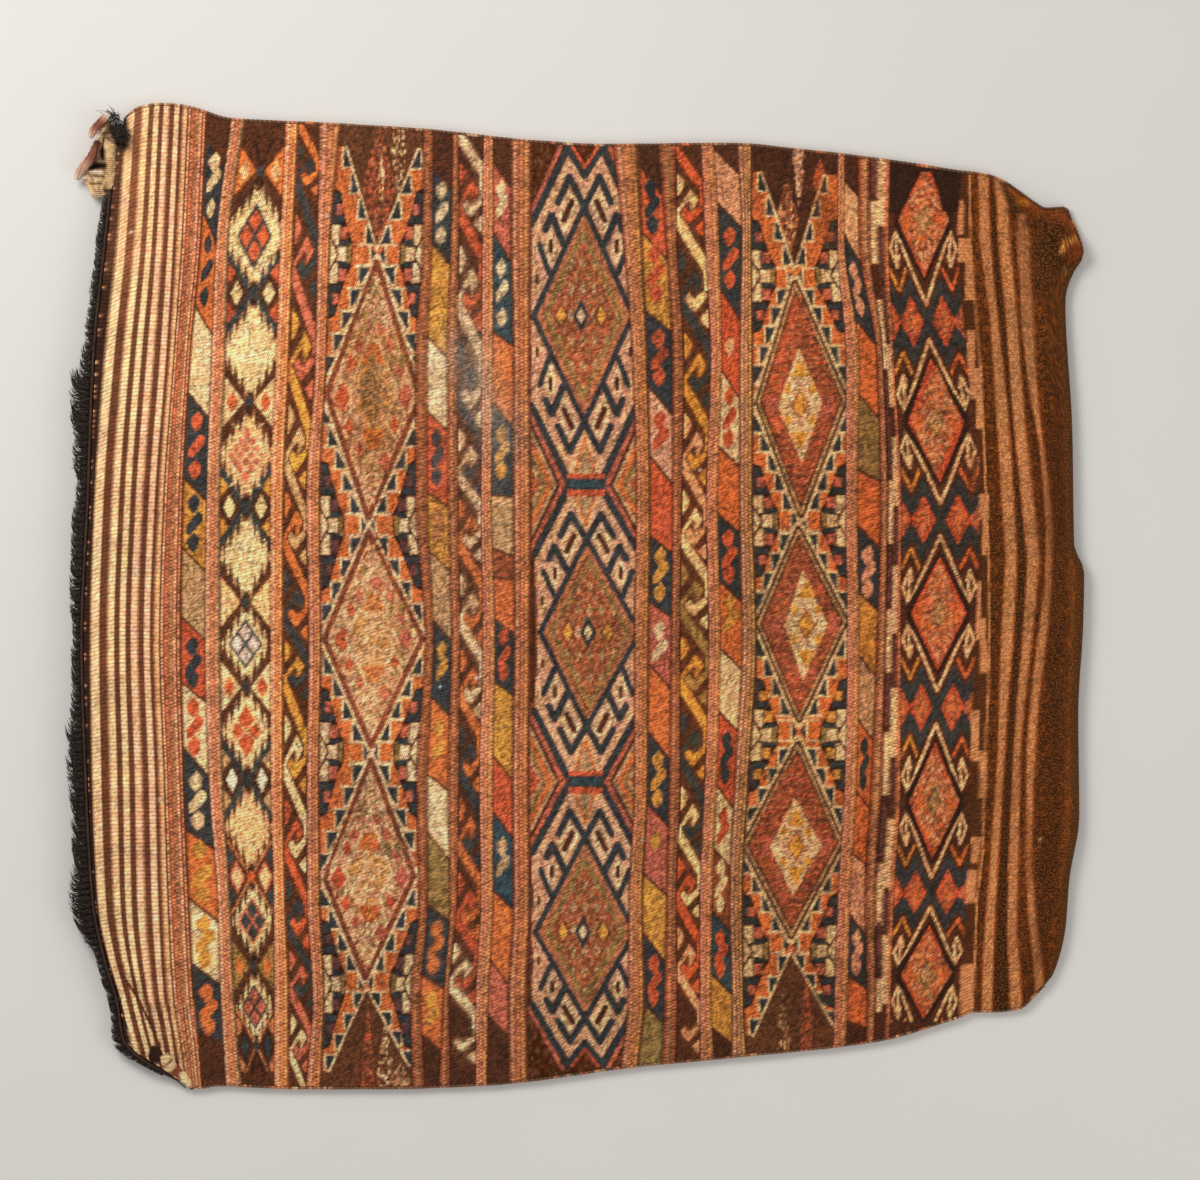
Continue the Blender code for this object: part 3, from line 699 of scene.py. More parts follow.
ENDS_FOUR = (
    ((794.5, 270), (761.3, 172), (823.8, 175), "brown", (
        (((798, 130), (792, 156), (804, 156), (798, 182)), ("bare", "bare", "peach")),
        (((799, 140), (794, 172), (804, 172), (798, 208)), ("peach", None, "bare")),
        (((820, 158), (812, 172), (828, 172), (814, 200)), ("red", "rust")),
        (((786, 176), (775, 220), (799, 220), (794, 266)), ("rust", "clay", None, "peach", "rust"))), 160),
    ((790.7, 951), (753.3, 1035.8), (833.3, 1026), "soil", (
        (((784, 985), (776, 1040), (790, 1040), (784, 1095)), ("peach", None, "tan", None)),
        (((807, 970), (800, 1035), (813, 1035), (807, 1100)), ("rose", "rust", None, "red"))), 170),
)
# Where the medallions of a column cross, x and y, and the castles beside it, y and inner dye
CROSSINGS_TWO = ((378, 255.5), (368, 525.5), (371, 753), (366, 982))
CROSSINGS_FOUR = ((795, 279), (799, 521), (799, 731), (791, 943))
CASTLES_TWO = ((254, "rose"), (525.5, "purple"), (752, "rose"), (984, "purple"))
CASTLES_FOUR = ((276, "rose"), (521, "rose"), (735, "gold"), (951, "rose"))


def plain_end(band, apex, left, right, ground, streaks, seed):
    """The brown end of a column between its last crossing and the seam, with four small dark
    triangles up each side and faded streaks."""
    turn = 1 if left[1] > apex[1] else -1
    far = apex[1] + turn * 200
    band.shape([apex, left, (left[0] - 40, left[1]), (left[0] - 40, far), (right[0] + 40, far),
                (right[0] + 40, right[1]), right], ground)
    for k, (points, dyes) in enumerate(streaks):
        mottle(band, points, dyes, seed + k, 3.4, 2.0, 0.0)
    apex = np.array(apex, float)
    for corner in (left, right):
        reach = np.array(corner) - apex
        out = np.sign(reach[0]) * 4.2
        for k in range(4):
            near = apex + reach * (k + 0.20) / 4
            away = apex + reach * (k + 1) / 4
            ledge = [near, (away[0] + out, near[1]), (away[0] + out * 0.8, away[1] - turn * 1.5), away]
            band.shape(ledge, "navy")
            band.stroke(ledge, 2.2, "cream")
    band.stroke([left, apex, right], 2.5, "cream")


def medallion_column(band, medallions, ends, crossings, castles, pitch, scale, inside):
    """A column of tall medallions with steps along their flanks and castles on the borders."""
    band.fill("orange")
    for end in ends:
        plain_end(band, *end)
    for top, left, right, bottom in medallions:
        for out, corner in ((-1, left), (1, right)):
            stairs(band, top, corner, pitch, out, 1)
            stairs(band, bottom, corner, pitch, out, -1)
    for x, y in crossings:
        crossing(band, x, y)
    for k, points in enumerate(medallions):
        inside(band, points, k)
    for y, inner in castles:
        castle(band, 0, y, inner, scale)
        castle(band, 1, y, inner, scale)


def inside_two(band, points, k):
    """One medallion of the second column: worn patches round a small lozenge."""
    top, left, right, bottom = points
    outline(band, scaled(points, 1.03), "cream", 8.2)
    medallion(band, points, "brick", 5.4, "peach")
    mottle(band, scaled(points, 1.06), (None, None, None, None, None, "rust"), 15 + k, 4)
    pale = ("tan", "cream", "peach", "clay", "cream", "tan", "pink", "olive")
    mottle(band, scaled(points, 0.90), pale, 20 + k)
    size = (bottom[1] - top[1]) / 213
    x = (left[0] + right[0]) / 2
    y = (left[1] + right[1]) / 2
    for dx, dy, half, tall, dye in PATCHES:
        band.lozenge(x + dx * 0.97, y + dy * size, half, tall * size, dye)
    middle = scaled(points, 0.52)
    outline(band, middle, "cream", 1.9)
    mottle(band, scaled(middle, 0.93), ("cream", "peach", "tan", "peach", "pink"), 40 + k)
    for turn in (-1, 1):
        tip = y + turn * 44 * size
        base = tip - 17 * turn * size
        band.shape([(x - 5, tip), (x + 5, tip), (x + 12, base), (x - 12, base)], "orange")
    mottle(band, scaled(middle, 0.9), (None, None, None, "gold"), 50 + k)
    if k == 0:
        mottle(band, scaled(middle, 0.6), (None, "olive", "grey"), 55)


def dashes(band, points, pitch, width, dye, gap=0.0):
    """Level lines across a lozenge, which leave a gap round its middle."""
    top, left, right, bottom = points
    x = (left[0] + right[0]) / 2
    y = (top[1] + bottom[1]) / 2
    half = (bottom[1] - top[1]) / 2
    for k in range(-int(half / pitch), int(half / pitch) + 1):
        reach = (1 - abs(k) * pitch / half) * (right[0] - left[0]) / 2 - 2
        row = y + k * pitch
        if reach > gap + 3:
            for out in (-1, 1):
                band.stroke([(x + out * gap, row), (x + out * reach, row)], width, dye)


def inside_four(band, points, k):
    """One medallion of the fourth column: a broad edge, a red field and a pale lozenge."""
    outline(band, scaled(points, 1.035), "cream", 9.5)
    outline(band, points, "brown", 6.6)
    outline(band, scaled(points, 0.985), "tan", 3.2)
    medallion(band, scaled(points, 0.93), "brown", 1.6, "russet")
    field = scaled(points, 0.90)
    mottle(band, field, (None, "brick", "rust", None, "rose", "red"), 60 + k, 2.6, 4.0, 0.1)
    dashes(band, field, 8.2, 1.5, "clay")
    middle = MIDDLE_FOUR[k]
    top, left, right, bottom = middle
    x = (left[0] + right[0]) / 2
    y = (left[1] + right[1]) / 2
    for out in (-1, 1):
        near = x + out * 20
        far = x + out * 34
        band.shape([(near, y - 10), (far, y - 8), (far, y + 8), (near, y + 10)], "rose")
    dashes(band, scaled(points, 0.7), 4.1, 1.1, "rose", 21)
    medallion(band, middle, "cream", 1.9, "ecru")
    for turn in (-1, 1):
        tip = y + turn * (bottom[1] - top[1]) * 0.42
        band.shape([(x, tip), (x + 9, tip - turn * 19), (x - 9, tip - turn * 19)], "honey")
        for out in (-1, 1):
            band.lozenge(x + out * 12, y + turn * 15, 4, 7, "honey")
    dashes(band, scaled(middle, 0.62), 4.0, 1.2, "clay")
    band.lozenge(x, y, 9, 15, "rust")
    band.lozenge(x, y, 7.4, 12.6, "honey")


# Middle of each medallion of the middle column and how tall its upper and lower halves are
CENTRAL = ((583, 316, 1.04, 1.01), (590, 632, 0.88, 0.895), (585, 932, 0.90, 0.82))
# One quarter of a unit of the middle column, right of a medallion's middle and away from it, in pixels:
# the points of a line or a shape, a line's width or 0, and the dye
QUARTER = (
    (((53, 0), (53, 90), (19, 160), (0, 164), (0, 100), (46, 0)), 0, "pink"),
    (((49, 60), (46, 88), (13, 152), (0, 117)), 4.0, "peach"),
    (((15.6, 119), (7.5, 107.6), (20, 81), (24.5, 99), (15.6, 119)), 3.4, "cream"),
    (((33, 80), (28.5, 66), (34, 49), (38, 67), (33, 80)), 2.8, "cream"),
    (((46, 44), (42, 34), (47, 19), (50, 31), (46, 44)), 2.2, "peach"),
    (((12.4, 110), (20.6, 92)), 5.4, "brown"), (((33, 72), (33, 62)), 4.0, "brown"),
    (((46.5, 39), (46.5, 32)), 3.0, "brown"),
    (((0, 120), (12, 164), (0, 164)), 0, "tan"), (((0, 121), (11, 160)), 2.4, "orange"),
    (((0, 104.5), (15, 134), (26.5, 109)), 6.6, "navy"), (((38.5, 83), (32.5, 97), (20.5, 69)), 7.0, "navy"),
    (((44.5, 69), (34.4, 41)), 5.6, "navy"), (((53, 50), (53.5, 20)), 3.0, "purple"),
    (((53, 88), (17, 162)), 7.0, "navy"), (((49, 0), (0, 104.5)), 6.8, "navy"),
    (((44, 0), (0, 94)), 4.8, "clay"),
)
# Lines beside a waist, parallel to the outline: distance outwards, width and dye
SIDE = ((32, 5, "red"), (27, 3.4, "tan"), (22.5, 3.6, "olive"), (18, 5, "orange"), (13, 3.4, "tan"),
        (9.3, 3, "brown"), (5.4, 4.2, "rose"))
# The two waists of the middle column: their left, right, top and bottom
WAISTS = ((568, 604, 478.6, 489.5), (570, 602, 776, 787))
# The plain ends of the middle column, where lighter stitches show: top, bottom and seed
CENTRAL_ENDS = ((130, 330, 91), (900, 1110, 92))


def quarter(band, middle, side, turn, tall, last):
    """One quarter of a unit of the middle column. The last one at either end is cut off."""
    cx, cy = middle

    def placed(points):
        return [(cx + side * px + (585 - cx) * py / 161, cy + turn * tall * py) for px, py in points]
    if not last:
        band.shape(placed(((60, 70), (17, 170), (60, 170))), "rust")
    for off, width, dye in SIDE[-1:] if last else SIDE:
        band.stroke(placed(((53 + off, 88), (17 + off, 167))), width, dye)
    for points, width, dye in QUARTER:
        if last and dye in ("tan", "orange"):
            continue
        if width:
            band.stroke(placed(points), width, dye)
        else:
            band.shape(placed(points), dye)
    if last:
        band.shape(placed(((21, 166), (0, 134), (0, 175), (21, 175))), "umber")
        band.stroke(placed(((20, 161), (18, 162), (0, 134))), 6.0, "navy")
        band.stroke(placed(((13, 163), (0, 143))), 3.4, "red")


def medallion_middle(band, middle, up, down, k):
    """The latticed field of a unit of the middle column, with two bright eyes."""
    cx, cy = middle
    top = (cx, cy - 88 * up)
    bottom = (cx, cy + 88 * down)
    waist = cy + 44 * (down - up)
    field = [top, (cx - 41, cy), (cx + 41, cy), bottom]
    inner = [top, (cx - 41, waist), (cx + 41, waist), bottom]
    medallion(band, field, "clay", 2, "olive")
    lattice(band, scaled(inner, 0.86), 0.335, ("clay", "tan"), "russet", 0.34)
    mottle(band, scaled(inner, 0.9), (None, None, None, None, None, "rust", None, "olive"), 80 + k, 3.4, 1.8)
    outline(band, scaled(field, 0.90), "olive", 2.4)
    for dx in (-22, 18):
        band.lozenge(cx + dx, cy, 8, 14, "brick")
        band.lozenge(cx + dx, cy, 5.2, 9.5, "honey")
    band.lozenge(cx - 2, cy, 8, 17, "navy")
    band.lozenge(cx - 2, cy, 4.4, 8.5, "cream")


def central_column(cloth):
    """Three tall figures with two narrow waists between them."""
    band = Band(cloth, 531, 634)
    band.fill("umber")
    for k, (cx, cy, up, down) in enumerate(CENTRAL):
        for turn, tall in ((-1, up), (1, down)):
            for side in (-1, 1):
                quarter(band, (cx, cy), side, turn, tall, (k, turn) in ((0, -1), (2, 1)))
        medallion_middle(band, (cx, cy), up, down, k)
    for x0, x1, y0, y1 in WAISTS:
        band.shape(block(x0 - 1, x1 + 1, y0 - 5, y1 + 7), "red")
        band.shape(block(x0 - 2, x1 + 2, y0, y1), "navy")
        band.shape(block(x0 + 2, x1 - 2, y0 + 2, y1 - 2), "teal")
    for top, bottom, seed in CENTRAL_ENDS:
        rows = band.rows(top, bottom)
        spot = hashed(np.floor(band.x[:, rows] / 3), np.floor(band.y[:, rows] / 4), seed) > 0.62
        band.dye[:, rows][spot & (band.dye[:, rows] == CODE["umber"])] = CODE["soil"]


# Where the cream lines of the fifth column cross: y, and the distance to the diamond above and below
CROSSINGS = ((322, 102, 100), (520, 98, 93), (707.5, 94.5, 94.5), (893, 91, 82), (1066, 90, 60))
# The diamonds between them: y and half height above and below
FIELDS = ((220, 58, 58), (422, 64, 60), (613, 57, 58), (802, 60, 57), (975, 50, 44))
# Half of a crossing, in shares of the width and pixels from the crossing: points, width and dye
CROSS = (
    (((0, 31), (0.13, 11), (0.28, 37), (0.5, 3), (0.73, 37), (0.89, 11), (1.03, 33)), 9.5, "navy"),
    (((0.0, 51), (0.13, 28), (0.24, 51)), 7.5, "brown"), (((0.76, 51), (0.89, 29), (1.0, 51)), 7.5, "brown"),
    (((0.0, 51), (0.13, 30), (0.24, 51)), 3.2, "gold"), (((0.76, 51), (0.89, 31), (1.0, 51)), 3.2, "orange"),
    (((0.10, 89), (0.5, 17), (0.89, 87)), 9.0, "brown"),
    (((0.11, 60), (0.105, 88), (0.02, 71), (0.12, 52), (0.14, 64)), 3.0, "cream"),
    (((0.88, 60), (0.895, 86), (0.98, 70), (0.89, 53), (0.86, 64)), 3.0, "cream"),
    (((0.10, 89), (0.5, 17), (0.89, 87)), 3.3, "cream"),
)
# The four bright lozenges on a crossing: share of the width, half width, half height and dye
KNOTS = ((0.0, 9, 23, "red"), (1.0, 10, 24, "rose"), (0.28, 12, 27, "red"), (0.73, 12, 27, "red"))


def column_five(cloth):
    """Diamonds between crossing cream lines."""
    band = Band(cloth, 901, 975.5)
    band.fill("brown")
    for y, above, below in CROSSINGS:
        for at, half, tall, dye in KNOTS:
            for share, its_dye in ((1, dye), (0.62, "clay"), (0.3, "orange")):
                band.lozenge(at, y, half * share, tall * share, its_dye, True)
        for turn, reach in ((-1, above), (1, below)):
            for points, width, dye in CROSS:
                band.stroke([(u, y + turn * far * reach / 98) for u, far in points], width, dye, True)
    for k, (y, up, down) in enumerate(FIELDS):
        edge = [(0.5, y - up - 5), (0.08, y - 8), (0.08, y + 8), (0.5, y + down + 5), (0.92, y + 8),
                (0.92, y - 8)]
        band.shape(edge, "dark", True)
        band.shape([(0.5, y - up), (0.13, y), (0.5, y + down), (0.87, y)], "red", True)
        middle = float(band.x[:, band.rows(y - up, y + down)][band.x.shape[0] // 2].mean())
        points = ((middle, y - up * 0.9), (middle - 25, y), (middle + 25, y), (middle, y + down * 0.9))
        mottle(band, points, ("pink", "orange", "rust", "clay", "tan", "clay"), 90 + k)
        band.lozenge(0.5, y, 8.5, 17, "olive", True)
        band.lozenge(0.5, y, 5.5, 11, "tan", True)
        band.lozenge(0.26, y, 5, 12, "orange", True)
        band.lozenge(0.74, y, 5, 12, "orange", True)
    band.shape([(0, 150), (1, 150), (1, 212), (0.78, 212), (0.6, 172), (0.4, 172), (0.2, 205), (0, 215)],
               "dark", True)
    band.fill("dark", bottom=168)
    band.fill("brown", top=1022)


# Upper ends of the steps beside the fifth column, and the blocks beyond it: left, right, top and bottom
STEPS = (157, 300, 437, 565, 688, 819, 935)
J_BLOCKS = (
    (967, 975, 330, 368), (968, 984, 368, 399), (976, 984, 399, 429), (969, 979, 457, 496),
    (979, 990, 494, 520), (982, 987, 520, 555), (975, 981, 581, 634), (976, 986, 618, 640),
    (980, 988, 640, 673), (971, 979, 710, 761), (979, 988, 751, 798), (971, 982, 837, 863),
    (967, 979, 870, 903), (960, 974, 964, 1014), (957, 964, 200, 235), (958, 972, 238, 262),
    (965, 975, 262, 300),
)
# The stripes of the plain end: x at both sides and y
STRIPES = (
    ((978, 988, 168), (979.5, 988, 200), (980, 990, 240), (987, 994, 290), (991, 998, 325), (996, 1006, 400),
     (1001, 1012, 480), (1006, 1016.5, 560), (1001.5, 1012.5, 640), (999.5, 1007.5, 700),
     (998.5, 1004.5, 750), (990, 997, 870), (984, 993, 950), (982, 991, 1016)),
    ((994, 1003, 176), (997, 1007, 200), (999, 1009, 240), (1003.5, 1014, 290), (1007, 1017, 325),
     (1014, 1024, 420), (1021, 1032, 490), (1028, 1039, 560), (1023, 1031.5, 640), (1017.5, 1024.5, 700),
     (1014, 1020, 750), (1009, 1018, 863), (1008, 1016, 930), (1011, 1022, 1010)),
    ((1018.5, 1026, 214), (1018, 1029, 240), (1021, 1031.5, 290), (1022, 1033, 325), (1028, 1036, 378),
     (1034, 1039, 414), (1039, 1042.5, 440), (1043, 1048, 480), (1046.5, 1053, 530), (1046, 1052, 560),
     (1045, 1051, 590), (1038, 1046, 640), (1031, 1038.5, 700), (1027.5, 1034.5, 750), (1027, 1033, 785),
     (1026, 1031, 863), (1029, 1036, 920), (1034, 1042, 965), (1036, 1043, 1000)),
)
# The thin pale line beside the blocks: x and y
PALE_LINE = ((969.5, 176), (970.5, 240), (974, 290), (981.5, 380), (985, 470), (988.8, 560), (989.4, 640),
             (988, 700), (985, 760), (984, 800), (983, 850), (977, 900), (975, 960), (972, 1010))


def stepped_border(cloth):
    """Pale steps that run from side to side of a narrow band, with a dark stitch above and below."""
    band = Band(cloth, 886, 897)
    band.fill("brown")
    for k, y in enumerate(STEPS):
        near, far = (0.0, 0.5) if k == 1 else (0.5, 1.0)
        middle = (near + far) / 2
        band.shape(block(near, far, y, y + 46), "cream", True)
        band.shape(block(0, 1, y + 44, y + 69), "cream", True)
        band.shape(block(1 - far, 1 - near, y + 67, y + 107), "cream", True)
        band.stroke([(1 - middle, y - 12), (1 - middle, y + 36)], 3.4, "purple", True)
        band.stroke([(middle, y + 76), (middle, y + 122)], 3.4, "purple", True)
    band.fill("brown", top=1012)


def striped_end(cloth):
    """The plain brown end at the bottom fold, with its three pairs of uneven stripes."""
    band = Band(cloth, 988, FOLD_LINE)
    band.fill("umber")
    pick = hashed(np.floor(band.x / 2.5 + 0.3 * np.sin(band.y / 3.0)), np.floor(band.y / 3.1), 97)
    band.dye[pick < 0.25] = CODE["peat"]
    band.dye[pick > 0.80 - 0.22 * np.clip((430 - band.y) / 150, 0, 1)] = CODE["loam"]
    band.shape(between(STRIPES[0], STRIPES[1], 1, 0), "peat")
    for line in STRIPES:
        wider = [(x0 - 1.4, x1 + 2.0, y) for x0, x1, y in line]
        band.shape(between(wider, wider), "rust")
    for line in STRIPES:
        band.shape(between(line, line), "bare")


def between(first, last, side=0, other=1):
    """The outline of the cloth between one side of a stripe and the other side of a second one."""
    return [(row[side], row[2]) for row in first] + [(row[other], row[2]) for row in reversed(last)]


def right_bands(cloth):
    """The narrow bands after the fifth column and the plain end."""
    stepped_border(cloth)
    band = Band(cloth, 975.5, 988)
    band.fill("brown")
    for corners in J_BLOCKS:
        band.shape(block(*corners), "bare")
    striped_end(cloth)
    Band(cloth, 975.5, 1001).stroke(PALE_LINE, 2.2, "bare")


def paint(cloth):
    """Every band of the front, one after the other."""
    cloth.dye[:] = CODE["rust"]
    left_stripes(cloth)
    for left, right, dyes in GUARDS:
        guard(cloth, left, right, dyes)
    for left, right, blocks in SLANTED:
        slanted_blocks(Band(cloth, left, right), blocks)
    for left, right, starts, drop in HOOKED:
        running_hooks(Band(cloth, left, right), starts, drop)
    column_one(cloth)
    second = Band(cloth, 322, 425)
    medallion_column(second, COLUMN_TWO, ENDS_TWO, CROSSINGS_TWO, CASTLES_TWO, 22.3, 1.0, inside_two)
    central_column(cloth)
    fourth = Band(cloth, 757.5, 847)
    medallion_column(fourth, COLUMN_FOUR, ENDS_FOUR, CROSSINGS_FOUR, CASTLES_FOUR, 19.5, 0.88, inside_four)
    column_five(cloth)
    right_bands(cloth)


# The part of the photograph that the sack fills: left, right, top and bottom, and the frame's middle
PICTURE = (59.0, 1090.0, 101.0, 1093.0)
FRAME_MIDDLE = (600, 590)
# Metres for each pixel across and down
ACROSS = 1.031 / (PICTURE[1] - PICTURE[0])
DOWN = 0.992 / (PICTURE[3] - PICTURE[2])
MIDDLE = ((PICTURE[0] + PICTURE[1]) / 2, (PICTURE[2] + PICTURE[3]) / 2)
# The camera's height over the height at which a pixel is 1 mm
FAR = 6.0
NOMINAL = 0.012
# Heights of the front: at its highest, at the lip and at the fold
LOFT = 0.047
LIP_TOP = 0.031
FOLD_TOP = 0.017
# Thicknesses: the cloth, how proud the brocade stands, the seam's yarn, the lips' binding, and the gap
CLOTH = 0.004
RELIEF = 0.0009
SEAM = 0.0042
BINDING = 0.004
GAP = 0.0004
# Rows of cells from seam to seam, the seam to seam length in pixels and a cell's width in pixels
ROWS = 640
LONG = 975
ACROSS_CELL = 1.9
# How far the hair reaches out of the lip: y in the photograph and pixels
REACH = (
    (200, 7), (240, 9), (360, 12), (400, 25), (430, 22), (500, 15), (550, 18), (640, 11), (700, 13),
    (765, 22), (820, 18), (925, 26), (955, 9), (1000, 9), (1040, 11), (1056, 5), (1085, 3),
)
# The brocaded bands, which stand a little proud, and the lines where the front is cut into strips
PROUD = ((182, 204.5), (221, 270), (284, 308.5), (322, 425), (434, 451), (460, 482.5), (495.5, 513.5),
         (531, 634), (649.5, 670.5), (680, 708.5), (720.5, 741.5), (757.5, 847), (859.5, 876.5), (901, 975.5))
STRIP_ENDS = (LIP_LINE, 270, 482.5, 670.5, 876.5, FOLD_LINE)
# Creases of the corners: start, end, half width and rise in metres
CREASES = (
    ((134, 968), (152, 1003), 7, 0.0060), ((152, 1003), (176, 1056), 7, 0.0060),
    ((119, 970), (139, 1000), 4.5, -0.0050), ((139, 1000), (160, 1048), 5, -0.0055),
    ((985, 190), (1058, 222), 13, 0.0050), ((1061, 252), (1066, 242), 4.0, 0.0040),
    ((1066, 242), (1078, 237), 4.0, 0.0040), ((1010, 192), (1040, 207), 7, 0.0030),
    ((1003, 183), (1016, 212), 5, -0.0030),
)
# The upper corner's hollow and its pulled-out ear: middle, size and rise in metres
HUMPS = (((1040, 250), 22, -0.0035), ((1077, 249), 14, 0.0105))


def bump(x, y, middle, size):
    """1 at the middle, falling away over size."""
    return np.exp(-(((x - middle[0]) / size) ** 2) - ((y - middle[1]) / size) ** 2)


def ridge(x, y, start, end, half_width):
    """1 along the line from start to end, falling away over half_width and past both ends."""
    along = np.array(end, float) - start
    long = math.hypot(*along)
    along = along / long
    t = (x - start[0]) * along[0] + (y - start[1]) * along[1]
    off = (x - start[0]) * along[1] - (y - start[1]) * along[0]
    past = np.maximum(np.maximum(-t, t - long), 0)
    return np.exp(-((off / half_width) ** 2) - (past / half_width) ** 2)


def folds(x, y, s, v):
    """The creases and soft waves of the front, in metres up."""
    lip = np.exp(-(s - LIP_LINE) / 70)
    edge = np.minimum(v, 1 - v)
    pucker = np.exp(-edge / 0.06) * np.minimum(edge / 0.02, 1)
    up = 0.0022 * lip * np.sin(y / 9.5 + 1.2 * np.sin(y / 61))
    up = up + 0.0018 * pucker * np.sin(x / 12 + 1.5 * np.sin(x / 83))
    up = up + 0.0016 * np.sin(x / 67 + y / 143) * np.sin(y / 89 - x / 211)
    up = up + 0.0012 * np.exp(-((s - 1030) / 38) ** 2) * np.sin(s / 5.5 + y / 160)
    up = up * np.minimum(edge / 0.03, 1)
    for start, end, half_width, rise in CREASES:
        up = up + rise * ridge(x, y, start, end, half_width)
    for middle, size, rise in HUMPS:
        up = up + rise * bump(x, y, middle, size)
    return up


def front_z(x, y, s, v):
    """Height of the front's outer face over the floor."""
    u = (s - LIP_LINE) / (FOLD_LINE - LIP_LINE)
    heights = (LIP_TOP, LOFT * 0.93, LOFT, LOFT * 0.86, LOFT * 0.6, FOLD_TOP)
    crown = smooth(u, (0, 0.14, 0.45, 0.8, 0.94, 1), heights)
    side = np.clip(np.minimum(v, 1 - v) / 0.30, 0, 1)
    low = 2 * CLOTH + GAP
    loft = (crown - low) * (1 - (1 - side) ** 2.6)
    return low + loft + np.maximum(folds(x, y, s, v), -0.2 * loft)


def to_world(x, y, z):
    """The point at the height z that is seen at x and y in the picture."""
    near = 1 - (z - NOMINAL) / FAR
    east = FRAME_MIDDLE[0] - MIDDLE[0] + (x - FRAME_MIDDLE[0]) * near
    north = MIDDLE[1] - FRAME_MIDDLE[1] + (FRAME_MIDDLE[1] - y) * near
    return np.stack([east * ACROSS, north * DOWN, z + 0 * x], axis=-1)


def fine_waves(x, y):
    """The small unevenness of hand-beaten weave, in metres up."""
    up = np.sin(x / 7.1 + 2.1 * np.sin(y / 37)) * np.sin(y / 11.3 + 1.7 * np.sin(x / 53))
    return 0.00022 * up + 0.0003 * np.sin(y / 5.2 + 3 * np.sin(x / 71)) * np.sin(x / 31 + y / 87)


def laid_out(s, v):
    """x and y in the picture of the front's crossings, with room for the bottom fold, and its radius."""
    x, y = picture_of(s, v)
    fold_x, fold_y = picture_of(np.array([float(FOLD_LINE)]), v)
    radius = front_z(fold_x[0], fold_y[0], FOLD_LINE, v) / 2
    share = np.clip((s[:, None] - FOLD_START) / (FOLD_LINE - FOLD_START), 0, 1)
    return x - radius[None, :] * share**2 / ACROSS, y, radius


def surface(s, v):
    """World points of the front at every crossing of the lines s with the rows v."""
    x, y, radius = laid_out(s, v)
    lines = s[:, None] + 0 * y
    rows = v[None, :] + 0 * y
    proud = np.zeros(len(s))
    for left, right in PROUD:
        proud = np.maximum(proud, np.clip(np.minimum(s - left, right - s) / 2.5 + 0.5, 0, 1))
    edge = np.minimum(np.minimum(rows, 1 - rows) / 0.02, 1)
    z = front_z(x, y, lines, rows) + RELIEF * proud[:, None] * edge + fine_waves(x, y) * edge
    return to_world(x, y, z), radius


def normals_of(points):
    """The direction square to the surface at each point of a grid."""
    along = np.gradient(points, axis=0)
    up = np.gradient(points, axis=1)
    normal = np.cross(along, up)
    return normal / np.maximum(np.linalg.norm(normal, axis=2), 1e-12)[:, :, None]


def add_dyes(mesh, colours):
    """Colours of the points, with how they are woven as alpha."""
    made = mesh.color_attributes.new("Dye", "BYTE_COLOR", "POINT")
    made.data.foreach_set("color_srgb", np.clip(colours, 0, 1).astype(np.float32).reshape(-1))


def add_places(mesh, name, places):
    """A map that gives every corner of the mesh a place."""
    made = mesh.uv_layers.new(name=name)
    made.data.foreach_set("uv", places.astype(np.float32).reshape(-1))
    return made


def piece(name, mesh, material, node):
    """The mesh as a piece of the scene that stands for a node of the solids."""
    mesh.polygons.foreach_set("use_smooth", np.ones(len(mesh.polygons), bool))
    mesh.materials.append(material)
    made = bpy.data.objects.new(name, mesh)
    bpy.context.scene.collection.objects.link(made)
    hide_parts(node)
    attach(made, "root")
    return made


def grid_mesh(name, points, weave, colours=None, halves=False):
    """A sheet from a grid of points. weave gives each point its place in the weave, in pixels."""
    columns, rows = points.shape[:2]
    index = np.arange(columns * rows).reshape(columns, rows)
    corners = np.stack([index[:-1, :-1], index[1:, :-1], index[1:, 1:], index[:-1, 1:]], axis=2)
    corners = corners.reshape(-1, 4)
    mesh = bpy.data.meshes.new(name)
    mesh.vertices.add(columns * rows)
    mesh.vertices.foreach_set("co", points.reshape(-1).astype(np.float32))
    mesh.loops.add(corners.size)
    mesh.loops.foreach_set("vertex_index", corners.reshape(-1).astype(np.int32))
    mesh.polygons.add(len(corners))
    mesh.polygons.foreach_set("loop_start", np.arange(0, corners.size, 4, dtype=np.int32))
    mesh.polygons.foreach_set("loop_total", np.full(len(corners), 4, np.int32))
    mesh.update(calc_edges=True)
    mesh.validate()
    add_places(mesh, "Weave", weave.reshape(-1, 2)[corners.reshape(-1)])
    add_places(mesh, "OFBake", bake_places(columns, rows, halves)).active_render = True
    if colours is not None:
        add_dyes(mesh, colours)
    return mesh


def bake_places(columns, rows, halves):
    """Each corner's place on the square that the finish is baked to, as one block or two halves."""
    i = np.arange(columns - 1)[:, None, None] + np.array([0, 1, 1, 0])[None, None, :]
    j = np.arange(rows - 1)[None, :, None] + np.array([0, 0, 1, 1])[None, None, :]
    across = i / (columns - 1) + 0 * j
    along = j / (rows - 1) + 0 * i
    if halves:
        cut = (rows - 1) // 2
        upper = (np.arange(rows - 1) >= cut)[None, :, None]
        share = cut / (rows - 1)
        along = np.where(upper, (along - share) / (1 - share), along / share)
        across = np.where(upper, 0.5 + across / 2, across / 2)
        inset = np.where(upper, 0.755, 0.245)
        across = inset + (across - np.where(upper, 0.75, 0.25)) * 0.96
        return np.stack([across, 0.01 + 0.98 * along], axis=-1)
    return np.stack([0.01 + 0.98 * across, 0.01 + 0.98 * along], axis=-1)
